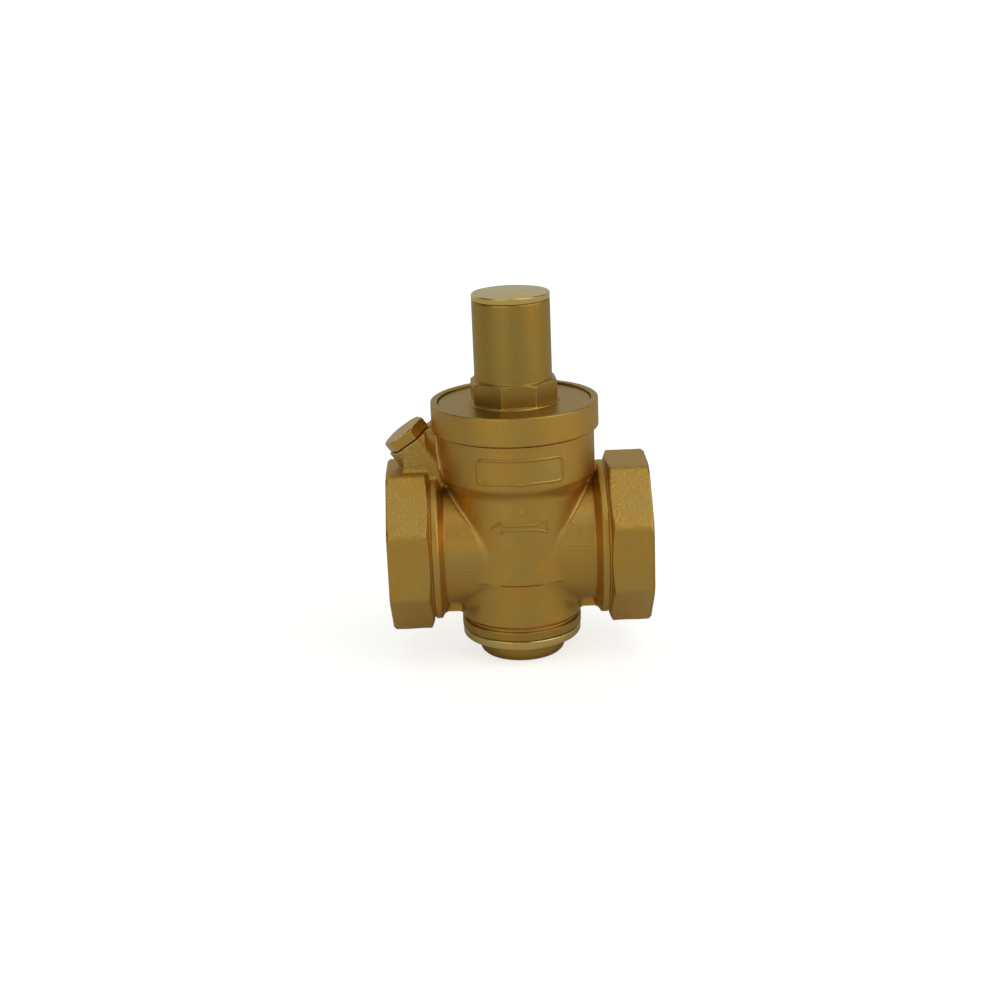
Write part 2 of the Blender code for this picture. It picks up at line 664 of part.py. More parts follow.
def piston_o_ring(look, carrier):
    """Piston seal."""
    centre = sum(PISTON_SEAL_Z) / 2.0
    ring = o_ring("piston_o_ring", PISTON_SEAL_R + GAP, PISTON_BORE_R - 0.25, centre)
    return finish(ring, look, centre, carrier)


def stem(look, carrier):
    """Stud with a shoulder, threaded at both ends and drilled through to vent the skirt."""
    low, high = STEM_Z
    shoulder_low, shoulder_high = STEM_SHOULDER_Z
    vent_r = 1.0
    return finish(lathe("stem", [
        (vent_r, low), (STEM_R - 0.5, low), (STEM_R, low + 0.5), (STEM_R, shoulder_low),
        (STEM_SHOULDER_R, shoulder_low), (STEM_SHOULDER_R, shoulder_high), (STEM_R, shoulder_high),
        (STEM_R, high - 0.5), (STEM_R - 0.5, high), (vent_r, high),
    ], ROUND_SMALL), look, low, carrier)


def disc_washer(look, carrier):
    """Washer that clamps the rubber disc."""
    low, high = DISC_WASHER_Z
    ring = [(STEM_R + GAP, low), (DISC_WASHER_R, low), (DISC_WASHER_R, high), (STEM_R + GAP, high)]
    return finish(lathe("disc_washer", ring), look, low, carrier)


def disc_seal(look, carrier):
    """Rubber disc that closes on the seat's lip."""
    low, high = DISC_SEAL_Z
    ring = [(STEM_R + GAP, low), (DISC_SEAL_R, low), (DISC_SEAL_R, high), (STEM_R + GAP, high)]
    return finish(lathe("disc_seal", ring), look, low, carrier)


def disc_holder(look, carrier):
    """Cup for the rubber disc, with a hollow balancing skirt and its seal groove below."""
    floor_low, floor_high = HOLDER_FLOOR_Z
    groove_low, groove_high = SKIRT_GROOVE_Z
    bevel = 0.4
    return finish(lathe("disc_holder", [
        (SKIRT_BORE_R, SKIRT_BOTTOM), (SKIRT_R - bevel, SKIRT_BOTTOM), (SKIRT_R, SKIRT_BOTTOM + bevel),
        (SKIRT_R, groove_low), (SKIRT_GROOVE_R, groove_low), (SKIRT_GROOVE_R, groove_high),
        (SKIRT_R, groove_high),
        (SKIRT_R, floor_low), (HOLDER_RIM_R, floor_low), (HOLDER_RIM_R, HOLDER_RIM_TOP),
        (DISC_SEAL_R + GAP, HOLDER_RIM_TOP), (DISC_SEAL_R + GAP, floor_high), (STEM_R + GAP, floor_high),
        (STEM_R + GAP, floor_low), (SKIRT_BORE_R, floor_low),
    ]), look, SKIRT_BOTTOM, carrier)


def balance_o_ring(look, carrier):
    """Seal of the balancing skirt."""
    centre = sum(SKIRT_GROOVE_Z) / 2.0
    ring = o_ring("balance_o_ring", SKIRT_GROOVE_R + GAP, PLUG_CYLINDER_R - GAP, centre)
    return finish(ring, look, centre, carrier)


def piston_nut(look, carrier):
    """Nut that holds the piston on the stem."""
    low = PISTON_FLOOR_Z + GAP
    shape = nut("piston_nut", STEM_NUT_FLATS, STEM_R + GAP, low, low + STEM_NUT_HEIGHT)
    return finish(shape, look, low, carrier)


def disc_nut(look, carrier):
    """Nut that holds the disc pack on the stem."""
    high = HOLDER_FLOOR_Z[0] - GAP
    low = high - STEM_NUT_HEIGHT
    return finish(nut("disc_nut", STEM_NUT_FLATS, STEM_R + GAP, low, high), look, low, carrier)


# --------------------------------------------------------------------------- assembly

def stand_on_underside():
    """Raise the assembly so that the bottom plug's underside is at height 0."""
    for obj in bpy.data.objects:
        if obj.parent is None:
            obj.location.z -= PLUG_HEAD_BOTTOM * MM


def build():
    """Model every piece and hang the moving ones on their axes."""
    clear_scene()
    forged_brass = material("forged_brass", (0.52, 0.36, 0.10), 0.42, 1.0)
    turned_brass = material("turned_brass", (0.56, 0.40, 0.13), 0.30, 1.0)
    steel = material("stainless_steel", (0.62, 0.61, 0.58), 0.28, 1.0)
    spring_steel = material("spring_steel", (0.30, 0.31, 0.33), 0.35, 1.0)
    rubber = material("black_rubber", (0.02, 0.02, 0.02), 0.75, 0.0)
    ptfe = material("white_ptfe", (0.86, 0.85, 0.80), 0.50, 0.0)

    valve_body(forged_brass)
    bonnet(turned_brass)
    seat_ring(steel)
    bottom_plug(turned_brass)
    bottom_plug_o_ring(rubber)
    gauge_plug(turned_brass)
    gauge_plug_gasket(rubber)

    lid_axis = body_axis("lid_axis", LID_Z[0])
    lid(turned_brass, lid_axis)
    lid_o_ring(rubber, lid_axis)

    plate_axis = body_axis("spring_plate_axis", PLATE_Z[0])
    upper_spring_plate(steel, plate_axis)
    spring(spring_steel, plate_axis)
    adjusting_screw(turned_brass, body_axis("adjusting_screw_axis", SCREW_Z[0]))

    piston_axis = body_axis("piston_axis", PISTON_Z[0])
    piston(turned_brass, piston_axis)
    piston_guide_ring(ptfe, piston_axis)
    piston_o_ring(rubber, piston_axis)
    piston_nut(steel, piston_axis)
    stem(steel, piston_axis)
    disc_washer(steel, piston_axis)
    disc_seal(rubber, piston_axis)
    disc_holder(turned_brass, piston_axis)
    disc_nut(steel, piston_axis)
    balance_o_ring(rubber, piston_axis)

    stand_on_underside()


build()
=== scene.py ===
"""Visual model of a brass pressure reducing valve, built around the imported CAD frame.

Sizes are in millimetres and heights are measured from the pipe axis, unless a name says
otherwise; meshes are built in metres. Solids with flats, fillets or branches are described as
signed distance fields and meshed by dual contouring. Round pieces are turned from the outlines
of their CAD nodes, with softened corners.
"""

import functools
import json
import math

import bpy
import numpy as np
from mathutils import Matrix, Vector


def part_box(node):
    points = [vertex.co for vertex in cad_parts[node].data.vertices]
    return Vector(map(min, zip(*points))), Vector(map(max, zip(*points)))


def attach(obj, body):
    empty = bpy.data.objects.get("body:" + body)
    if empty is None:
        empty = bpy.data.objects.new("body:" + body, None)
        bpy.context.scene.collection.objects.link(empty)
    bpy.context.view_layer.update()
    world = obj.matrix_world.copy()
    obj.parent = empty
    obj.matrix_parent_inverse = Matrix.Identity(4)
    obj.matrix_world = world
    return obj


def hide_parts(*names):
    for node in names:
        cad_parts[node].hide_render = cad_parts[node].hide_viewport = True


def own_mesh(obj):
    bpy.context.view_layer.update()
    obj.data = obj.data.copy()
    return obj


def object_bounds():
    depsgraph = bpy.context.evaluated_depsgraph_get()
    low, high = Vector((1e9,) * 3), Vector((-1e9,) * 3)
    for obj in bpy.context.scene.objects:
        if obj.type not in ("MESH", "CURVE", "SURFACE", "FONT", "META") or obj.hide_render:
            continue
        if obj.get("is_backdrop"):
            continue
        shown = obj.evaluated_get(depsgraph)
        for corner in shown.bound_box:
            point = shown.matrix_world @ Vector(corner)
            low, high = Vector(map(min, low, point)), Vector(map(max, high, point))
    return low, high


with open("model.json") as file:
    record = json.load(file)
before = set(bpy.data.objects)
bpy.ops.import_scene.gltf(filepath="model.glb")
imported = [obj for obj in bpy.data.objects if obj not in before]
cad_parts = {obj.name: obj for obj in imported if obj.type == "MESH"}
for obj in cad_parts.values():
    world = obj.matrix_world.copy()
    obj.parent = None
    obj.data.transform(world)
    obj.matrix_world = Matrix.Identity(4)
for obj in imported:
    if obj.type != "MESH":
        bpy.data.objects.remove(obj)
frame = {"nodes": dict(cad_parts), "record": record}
CAD_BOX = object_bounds()

MM = 0.001
INLET_PORT = frame["record"]["physics"]["openings"][0]["box_m"]
PIPE_Z = (INLET_PORT[0][2] + INLET_PORT[1][2]) / 2.0 / MM  # pipe axis above the origin
COARSE = 1.0  # cell size factor while trying things
PROBE = 0.02  # reach of the probes for a normal
CREASE_ANGLE = math.radians(50.0)  # edges at least this steep stay crisp


def node_span(node, axis):
    """Lower and upper limit of a CAD node along one axis; heights are from the pipe axis."""
    low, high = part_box(node)
    shift = PIPE_Z if axis == 2 else 0.0
    return low[axis] / MM - shift, high[axis] / MM - shift


# Body, outside
FACE_X = node_span("valve_body", 0)[1]
COLLAR_R = node_span("valve_body", 1)[1]
RIM_LOW, COLLAR_TOP = node_span("valve_body", 2)
END_INNER_X = FACE_X - 14.0
END_FLATS = 55.0
END_CORNER_R = 29.77
END_CHAMFER_R = 27.17
TUBE_R = 21.1
SHOULDER_R = 25.1
SHOULDER_X = 25.0
BEAD_R = 26.3
BEAD_X = (27.1, 29.4)
GROOVE_R = 25.7
BODY_R = 24.0
BODY_STEP_Z = -8.7
BOTTOM_BOSS_R = 20.5
BOTTOM_RIM_R = 20.7
RIM_TOP = -27.0
UPPER_R = 26.7
UPPER_CHAMFER_Z = (21.6, 24.9)
COLLAR_LOW = 40.5
RIB_SPANS = ((18.0, 27.0), (-3.0, 3.0), (-24.75, 24.75))
WAVE_HEIGHT = 0.05  # unevenness of the forged skin

# Body, inside
PORT_RING_R = 24.3  # bore that holds the thread ring of a port
THREAD_END_X = 28.5
PASSAGE_R = 18.3
PASSAGE_END_X = 19.5
WINDOW_R = 15.5
WINDOW_INNER_X = 4.0
SEAT_WALL_Z = (-4.0, 1.5)
SEAT_HOLE_R = 13.0
PISTON_BORE_R = 20.5
PISTON_BORE_Z = (22.0, 43.0)
BONNET_BORE_R = 26.0
PLUG_SEAL_R = 19.45
PLUG_SEAL_TOP = -28.0
PLUG_BORE_TOP = -20.6
OVERRUN = 4.0  # how far a cut reaches past the surface it opens

# Gauge port
GAUGE_FACE = (-38.1, 0.0, 40.5)
GAUGE_TILT = math.radians(35.0)
GAUGE_SEAT = 4.0
GAUGE_BOSS_FLATS = 15.6
GAUGE_BOSS_LOW = -22.0
GAUGE_FOOT_SPANS = ((-38.0, -30.5), (-7.4, 7.4), (26.0, 45.0))
GAUGE_WEB_SPANS = ((-33.0, -22.0), (-5.0, 5.0), (20.0, 44.0))
GAUGE_BORE_R = 6.55
GAUGE_BORE_LOW = -13.0
GAUGE_PASSAGE_R = 3.0
GAUGE_PASSAGE_LOW = -30.0
GAUGE_HEX_FLATS = 14.2
GAUGE_HEX_PHASE = math.radians(-7.5)
GAUGE_HEX_LOW = -3.7
GAUGE_REACH = 8.2  # no part of the plug is farther from its axis
GAUGE_SHANK_LOW = -11.8
GAUGE_SHANK_R = 6.25
GASKET_R = (6.5, 6.9)
GASKET_Z = (-3.97, -3.74)

# Bonnet
BONNET_DISC_R = 25.75
BONNET_DISC_Z = (43.3, 49.4)
BONNET_FOOT_R = 15.4
BONNET_FOOT_HEIGHT = 0.4
BONNET_NUT_FLATS = 28.0
BONNET_NUT_CORNER_R = 15.25
BONNET_NUT_Z = (50.4, 57.3)
BONNET_NUT_PHASE = math.radians(28.0)
CAP_R = 13.08
CAP_TOP = node_span("bonnet", 2)[1]
SPRING_BORE_R = 11.2
SCREW_BORE_R = 9.75
SCREW_BORE_Z = (66.0, 78.5)
LID_BORE_R = 9.8
LID_LOW_Z = 84.3  # underside of the lid's rim in the CAD
LID_SHOWN_LOW_Z = 84.12  # the same in the visual model, for the thin dark line that the photo shows

# Adjusting screw
SCREW_PITCH = 1.5
SCREW_R = 9.0
SCREW_MEAN_R = 8.55
SCREW_THREAD_HALF = 0.42
SCREW_SOCKET_FLATS = 8.0
SCREW_SOCKET_DEPTH = 6.0

# Port threads, G 1 1/2
PORT_CREST_R = 22.42
PORT_ROOT_R = 23.9
PORT_PITCH = 2.309

# Bottom plug
PLUG_LOW = -40.2
PLUG_HEAD_R = 14.9
PLUG_RING_R = 20.5
PLUG_RING_Z = (-33.5, -30.3)
PLUG_NECK_R = 17.2
PLUG_THREAD_R = 17.7
PLUG_THREAD_Z = (-27.1, -21.4)
PLUG_GUIDE_R = 13.0
PLUG_TOP = -18.5
PLUG_BORE_R = 10.2
PLUG_BORE_LOW = -32.0
PLUG_SOCKET_FLATS = 12.0
PLUG_SOCKET_DEPTH = 5.0


# ------ distance fields

def length(a, b):
    """Distance from an axis, given the two coordinates across it."""
    return np.sqrt(a * a + b * b)


def join(a, b, fillet):
    """Union of two fields with a fillet where they meet."""
    blend = np.maximum(fillet - np.abs(a - b), 0.0)
    return np.minimum(a, b) - blend * blend / (4.0 * fillet)


def overlap(a, b, rounding):
    """Intersection of two fields with a rounded edge where they meet."""
    return -join(-a, -b, rounding)


def cut(a, b, rounding):
    """Field a without field b, with a rounded edge where b breaks out."""
    return -join(-a, b, rounding)


def box_field(x, y, z, spans):
    """Box between the given limits."""
    far = -math.inf
    for value, (low, high) in zip((x, y, z), spans):
        far = np.maximum(far, np.abs(value - (low + high) / 2.0) - (high - low) / 2.0)
    return far


def prism_field(a, b, sides, across_flats, phase, rounding):
    """Endless regular prism across the axes a and b; phase turns its first corner from +a."""
    far = -math.inf
    for k in range(sides):
        angle = phase + (k + 0.5) * 2.0 * math.pi / sides
        face = a * math.cos(angle) + b * math.sin(angle) - across_flats / 2.0
        far = overlap(far, face, rounding)
    return far


def soften(outline, rounding, points=4):
    """Outline with an arc at each corner that is off the axis; a third value is a corner's own radius."""
    softened = []
    count = len(outline)
    for index, corner in enumerate(outline):
        radius = corner[2] if len(corner) == 3 else rounding
        here = np.array(corner[:2], float)
        before = np.array(outline[index - 1][:2], float) - here
        after = np.array(outline[(index + 1) % count][:2], float) - here
        long_before, long_after = np.linalg.norm(before), np.linalg.norm(after)
        before, after = before / long_before, after / long_after
        half = math.acos(max(-1.0, min(1.0, float(before @ after)))) / 2.0
        if corner[0] == 0.0 or half > math.radians(85.0):
            softened.append(tuple(corner[:2]))
            continue
        reach = min(radius / math.tan(half), 0.45 * long_before, 0.45 * long_after)
        start, end = here + before * reach, here + after * reach
        for step in range(points + 1):
            share = step / points
            arc = (1.0 - share) ** 2 * start + 2.0 * share * (1.0 - share) * here + share ** 2 * end
            softened.append((float(arc[0]), float(arc[1])))
    return softened


def polygon(a, b, points):
    """Signed distance from (a, b) to a closed polygon."""
    nearest, inside = math.inf, False
    for (a0, b0), (a1, b1) in zip(points, points[1:] + points[:1]):
        edge_a, edge_b = a1 - a0, b1 - b0
        off_a, off_b = a - a0, b - b0
        share = np.clip((off_a * edge_a + off_b * edge_b) / (edge_a ** 2 + edge_b ** 2), 0.0, 1.0)
        square = (off_a - edge_a * share) ** 2 + (off_b - edge_b * share) ** 2
        nearest = np.minimum(nearest, square)
        if edge_b != 0.0:
            inside = inside ^ (((b0 <= b) != (b1 <= b)) & (a < a0 + off_b * (edge_a / edge_b)))
    return np.sqrt(nearest) * np.where(inside, -1.0, 1.0)


def turned(r, h, outline):
    """Signed distance to a solid turned from an outline of (radius, height) points."""
    past_axis = -8.0
    return polygon(r, h, [(radius if radius > 0.0 else past_axis, height) for radius, height in outline])


def gauge_frame(x, y, z):
    """Coordinates in the gauge port's own frame: its third axis points out of the port."""
    across = x - GAUGE_FACE[0]
    up = z - GAUGE_FACE[2]
    sin, cos = math.sin(GAUGE_TILT), math.cos(GAUGE_TILT)
    return across * cos + up * sin, y - GAUGE_FACE[1], up * cos - across * sin


def slopes(field, points, step=PROBE):
    """Gradient of a field at scattered points, from four probes round each."""
    probes = np.array([(1.0, -1.0, -1.0), (-1.0, -1.0, 1.0), (-1.0, 1.0, -1.0), (1.0, 1.0, 1.0)])
    total = sum(probe * field(*(points + probe * step).T)[:, None] for probe in probes)
    return total / (4.0 * step)


def settle(field, points, rounds, limit=math.inf, step=PROBE):
    """Move points onto a field's surface, by at most limit in each round."""
    for _ in range(rounds):
        slope = slopes(field, points, step)
        size = np.maximum(np.einsum("ij,ij->i", slope, slope), 0.25)
        points = points - slope * np.clip(field(*points.T) / size, -limit, limit)[:, None]
    return points


def unit(vectors):
    """Rows scaled to length one."""
    return vectors / np.maximum(np.linalg.norm(vectors, axis=1, keepdims=True), 1e-9)


# ------ meshing

def graded_axis(low, high, cell, bands):
    """Grid positions from below low to past high, closer together inside the bands."""
    positions = [low - 1.63 * cell]
    while positions[-1] < high + cell:
        here = positions[-1]
        close = any(start - cell < here < end for start, end in bands)
        positions.append(here + (0.5 * cell if close else cell))
    return np.array(positions)


def sample_grid(field, axes):
    """Field values on the grid, worked out in slabs to save memory."""
    slab = 24
    x, y, z = axes
    values = np.empty((len(x), len(y), len(z)), np.float32)
    for start in range(0, len(x), slab):
        part = slice(start, start + slab)
        values[part] = field(x[part, None, None], y[None, :, None], z[None, None, :])
    return values


def grid_points(axes, index):
    """Positions of grid corners given by their whole-number indices."""
    return np.stack([positions[steps] for positions, steps in zip(axes, index.T)], 1)


def surface_crossings(field, axes):
    """Where the surface cuts the grid's edges: points, normals, the four cells round each edge."""
    values = sample_grid(field, axes)
    inside = values < 0.0
    cells = tuple(count - 1 for count in values.shape)
    one = np.eye(3, dtype=int)
    found = []
    for axis in range(3):
        second, third = (axis + 1) % 3, (axis + 2) % 3
        index = np.stack(np.nonzero(np.diff(inside, axis=axis)), 1)
        sideways = index[:, [second, third]]
        index = index[((sideways > 0) & (sideways < (cells[second], cells[third]))).all(1)]
        ahead = index + one[axis]
        start = grid_points(axes, index)
        step = grid_points(axes, ahead) - start
        low, high = np.zeros(len(index)), np.ones(len(index))
        value_low = values[tuple(index.T)].astype(float)
        value_high = values[tuple(ahead.T)].astype(float)
        for _ in range(4):
            share = low + (high - low) * value_low / (value_low - value_high)
            point = start + share[:, None] * step
            value = field(*point.T)
            same = (value < 0.0) == (value_low < 0.0)
            low, value_low = np.where(same, share, low), np.where(same, value, value_low)
            high, value_high = np.where(same, high, share), np.where(same, value_high, value)
        corners = np.stack([
            np.ravel_multi_index((index - back).T, cells)
            for back in (one[second] + one[third], one[third], 0, one[second])
        ], 1)
        leaves = inside[tuple(index.T)]
        corners[~leaves] = corners[~leaves][:, ::-1]
        found.append((point, unit(slopes(field, point)), corners))
    return [np.concatenate(parts) for parts in zip(*found)]


def cell_vertices(points, normals, cell_of, axes):
    """Best-fitting point of each cell, whether an edge passes through it, and every face's four points."""
    used, owner = np.unique(cell_of.ravel(), return_inverse=True)
    owner = owner.reshape(cell_of.shape)
    count = np.bincount(owner.ravel(), minlength=len(used)).astype(float)

    def average(values):
        """Mean over the crossings of each cell."""
        return sum(np.bincount(cells, values, len(used)) for cells in owner.T) / count

    centre = np.stack([average(values) for values in points.T], 1)
    products = [[average(first * second) for second in normals.T] for first in normals.T]
    matrix = np.moveaxis(np.array(products), 2, 0)
    plane = np.einsum("ij,ij->i", points, normals)
    target = np.stack([average(values * plane) for values in normals.T], 1)
    rest = target - np.einsum("nij,nj->ni", matrix, centre)
    strength, direction = np.linalg.eigh(matrix)
    keep = strength > 0.02
    inverse = np.where(keep, 1.0 / np.maximum(strength, 1e-9), 0.0)
    shift = np.einsum("nij,nj->ni", direction, inverse * np.einsum("nji,nj->ni", direction, rest))
    index = np.stack(np.unravel_index(used, tuple(len(axis) - 1 for axis in axes)), 1)
    inside_cell = np.clip(centre + shift, grid_points(axes, index), grid_points(axes, index + 1))
    return inside_cell, keep[:, 1], owner


def field_solid(name, field, low, high, cell, to_model=None, bands=((), (), ())):
    """Mesh the solid where the field is negative, by dual contouring with shading normals."""
    cell *= COARSE
    axes = [graded_axis(start, end, cell, close) for start, end, close in zip(low, high, bands)]
    points, normals, cell_of = surface_crossings(field, axes)
    vertices, sharp, faces = cell_vertices(points, normals, cell_of, axes)
    vertices[~sharp] = settle(field, vertices[~sharp], 2, 0.3 * cell)
    loops = faces.ravel()
    loop_normals = unit(slopes(field, vertices))[loops]
    at_edge = np.nonzero(sharp[loops])[0]
    middle = vertices[faces].mean(1)[at_edge // 4]
    beside = vertices[loops[at_edge]] * 0.6 + middle * 0.4
    loop_normals[at_edge] = unit(slopes(field, beside))
    return mesh_object(name, vertices, faces, to_model, loop_normals)


def mesh_object(name, vertices, faces, to_model=None, loop_normals=None):
    """Object in the model's frame from vertices in millimetres; real corners stay crisp."""
    vertices = np.asarray(vertices, float)
    if to_model is not None:
        rotation = np.array(to_model.to_3x3())
        vertices = vertices @ rotation.T + np.array(to_model.translation)
        if loop_normals is not None:
            loop_normals = loop_normals @ rotation.T
    vertices = (vertices + (0.0, 0.0, PIPE_Z)) * MM
    mesh = bpy.data.meshes.new(name)
    mesh.from_pydata(vertices.tolist(), [], [list(face) for face in faces])
    mesh.update()
    mesh.shade_smooth()
    if loop_normals is None:
        mesh.set_sharp_from_angle(angle=CREASE_ANGLE)
    else:
        mesh.normals_split_custom_set(loop_normals.tolist())
    obj = bpy.data.objects.new(name, mesh)
    bpy.context.scene.collection.objects.link(obj)
    return obj


def round_steps(count):
    """Angles at even steps round a circle."""
    return 2.0 * math.pi * np.arange(count) / count


def turn(name, outline, segments=96, rounding=0.25, to_model=None):
    """Turn an outline about the vertical axis, with softened corners."""
    points = soften(outline, rounding) if rounding else outline
    closed = all(radius > 0.0 for radius, _ in points)
    angles = round_steps(segments)
    vertices, rings = [], []
    for radius, height in points:
        if radius <= 0.0:
            rings.append([len(vertices)] * segments)
            vertices.append((0.0, 0.0, height))
            continue
        rings.append(list(range(len(vertices), len(vertices) + segments)))
        vertices.extend((radius * math.cos(a), radius * math.sin(a), height) for a in angles)
    return mesh_object(name, vertices, bridge(rings, closed), to_model)


def bridge(rings, closed=False, inward=False):
    """Faces between neighbouring rings of vertex numbers; a vertex on the axis is used once a face."""
    faces = []
    for lower, upper in zip(rings, rings[1:] + rings[:1] if closed else rings[1:]):
        for k in range(len(lower)):
            n = (k + 1) % len(lower)
            corners = [lower[k], lower[n], upper[n], upper[k]]
            if inward:
                corners = [lower[k], upper[k], upper[n], lower[n]]
            faces.append([corner for place, corner in enumerate(corners) if corner != corners[place - 1]])
    return faces


def meridian(node):
    """Outline of a turned CAD node as (radius, height) points, read from its mesh."""
    mesh = frame["nodes"][node].data
    corners = []
    for vertex in mesh.vertices:
        x, y, z = vertex.co / MM
        on_plane = abs(y) < 0.002 and x > -0.002
        corners.append((round(x, 2), round(z - PIPE_Z, 2)) if on_plane else None)
    links = {}

    def link(start, end):
        links.setdefault(start, set()).add(end)
        links.setdefault(end, set()).add(start)

    for edge in mesh.edges:
        start, end = (corners[index] for index in edge.vertices)
        if start is not None and end is not None and start != end:
            link(start, end)
    loose = {}
    for point in sorted(links):
        if len(links[point]) == 1 and point[0] > 0.0:
            loose.setdefault(point[1], []).append(point)
    for height, ends in loose.items():
        if len(ends) % 2:
            link((0.0, height), ends[0])
        for inner, outer in zip(ends[len(ends) % 2::2], ends[len(ends) % 2 + 1::2]):
            link(inner, outer)
    starts = sorted(point for point in links if len(links[point]) == 1)
    walk = [starts[0] if starts else min(links)]
    while True:
        onward = [point for point in sorted(links[walk[-1]]) if point not in walk]
        if not onward:
            return walk
        walk.append(onward[0])


def stacked_rings(radius, angle, height):
    """Vertices at cylindrical positions, one ring to each row, and the vertex numbers of the rings."""
    radius, angle, height = np.broadcast_arrays(radius, angle, height)
    vertices = np.stack([radius * np.cos(angle), radius * np.sin(angle), height], -1).reshape(-1, 3)
    return vertices, np.arange(len(vertices)).reshape(radius.shape).tolist()


def thread_ring(name, radii, span, pitch, to_model=None, flared=False):
    """Sleeve with an internal thread; its mouth, at the upper end of span, may flare to the root."""
    crest_r, root_r, outer_r = radii
    segments, steps_per_pitch = 128, 14
    low, high = span
    steps = round((high - low) / pitch * steps_per_pitch)
    angles = round_steps(segments)
    heights = low + (high - low) * np.arange(steps + 1)[:, None] / steps
    phase = (heights / pitch - angles / (2.0 * math.pi)) % 1.0
    flank = np.clip(0.5 + 0.8 * (1.0 - 2.0 * np.abs(2.0 * phase - 1.0)), 0.0, 1.0)
    runout = np.minimum(1.0, (heights - low) / pitch)
    radius = crest_r + (root_r - crest_r) * flank * runout
    if flared:
        radius = np.maximum(radius, root_r + 0.15 - (high - heights))
    radius = np.vstack([radius, np.full((2, segments), outer_r)])
    vertices, rings = stacked_rings(radius, angles, np.vstack([heights, [[high], [low]]]))
    return mesh_object(name, vertices, bridge(rings, closed=True, inward=True), to_model)


# ------ valve body

def pipe_ends(x, y, z):
    """Both octagonal ends, chamfered at each face."""
    across = length(y, z)
    turned_shape = turned(across, np.abs(x), [
        (0.0, END_INNER_X), (END_CHAMFER_R, END_INNER_X), (END_CORNER_R + 0.2, END_INNER_X + 1.0),
        (END_CORNER_R + 0.2, FACE_X - 1.0), (END_CORNER_R - 1.2, FACE_X), (0.0, FACE_X),
    ])
    return overlap(prism_field(y, z, 8, END_FLATS, math.pi / 8.0, 0.9), turned_shape, 0.5)


def pipe(x, y, z):
    """Tube along the pipe axis with a shoulder, a bead and a groove behind each octagonal end."""
    across, along = length(y, z), np.abs(x)
    tube = np.maximum(across - TUBE_R, along - END_INNER_X)
    rings = turned(across, along, PIPE_RINGS)
    return join(join(tube, rings, 0.6), pipe_ends(x, y, z), 0.5)


PIPE_RINGS = soften([
    (TUBE_R - 3.0, SHOULDER_X + 0.6), (TUBE_R + 1.0, SHOULDER_X + 0.6, 0.3),
    (SHOULDER_R, BEAD_X[0] - 0.3, 0.4),
    (BEAD_R, BEAD_X[0] + 0.2, 0.9), (BEAD_R, BEAD_X[1], 1.1), (GROOVE_R, BEAD_X[1] + 0.2, 0.3),
    (GROOVE_R, END_INNER_X + 1.0, 0.1), (TUBE_R - 3.0, END_INNER_X + 1.0),
], 0.1, 4)


BARREL_OUTLINE = soften([
    (0.0, RIM_LOW), (BOTTOM_RIM_R, RIM_LOW), (BOTTOM_RIM_R, RIM_TOP),
    (BOTTOM_BOSS_R - 0.8, RIM_TOP + 0.2, 0.2), (BOTTOM_BOSS_R - 0.8, RIM_TOP + 0.9, 0.3),
    (BOTTOM_BOSS_R, RIM_TOP + 1.9, 0.8), (BOTTOM_BOSS_R, BODY_STEP_Z - 1.7, 0.2),
    (BOTTOM_BOSS_R - 0.6, BODY_STEP_Z - 1.3, 0.2), (BOTTOM_BOSS_R - 0.6, BODY_STEP_Z - 0.3, 0.2),
    (BODY_R, BODY_STEP_Z, 0.2), (BODY_R, UPPER_CHAMFER_Z[0], 3.5), (UPPER_R, UPPER_CHAMFER_Z[1], 2.2),
    (UPPER_R, COLLAR_LOW - 0.7, 0.1), (UPPER_R - 0.5, COLLAR_LOW - 0.5, 0.1),
    (UPPER_R - 0.5, COLLAR_LOW, 0.1), (COLLAR_R, COLLAR_LOW, 0.5), (COLLAR_R, COLLAR_TOP, 0.4),
    (0.0, COLLAR_TOP),
], 0.3, 3)


def gauge_boss(x, y, z):
    """Hexagonal boss of the gauge port with its foot and the web behind it."""
    a, b, out = gauge_frame(x, y, z)
    hexagon = prism_field(a, b, 6, GAUGE_BOSS_FLATS, GAUGE_HEX_PHASE, 1.0)
    footed = join(np.maximum(hexagon, GAUGE_BOSS_LOW - out), box_field(x, y, z, GAUGE_FOOT_SPANS), 0.5)
    return overlap(join(footed, box_field(x, y, z, GAUGE_WEB_SPANS), 1.0), out + GAUGE_SEAT, 0.3)


def passages(x, y, z):
    """Everything bored out of the body."""
    radius, across, along = length(x, y), length(y, z), np.abs(x)
    low, high = SEAT_WALL_Z
    core = turned(radius, z, VERTICAL_CORE)
    port = turned(across, along, [
        (0.0, PASSAGE_END_X), (PASSAGE_R, PASSAGE_END_X), (PASSAGE_R, THREAD_END_X),
        (PORT_RING_R, THREAD_END_X), (PORT_RING_R, FACE_X + OVERRUN), (0.0, FACE_X + OVERRUN),
    ])
    reach = np.maximum(WINDOW_INNER_X - along, along - PASSAGE_END_X - 1.0)
    half = np.where(x > 0.0, z - low + 0.6, high + 0.6 - z)
    window = np.maximum(np.maximum(across - WINDOW_R, reach), half)
    a, b, out = gauge_frame(x, y, z)
    bore = turned(length(a, b), out, [
        (0.0, GAUGE_PASSAGE_LOW), (GAUGE_PASSAGE_R, GAUGE_PASSAGE_LOW), (GAUGE_PASSAGE_R, GAUGE_BORE_LOW),
        (GAUGE_BORE_R, GAUGE_BORE_LOW), (GAUGE_BORE_R, OVERRUN), (0.0, OVERRUN),
    ])
    return np.minimum(join(join(core, port, 1.0), window, 1.0), bore)


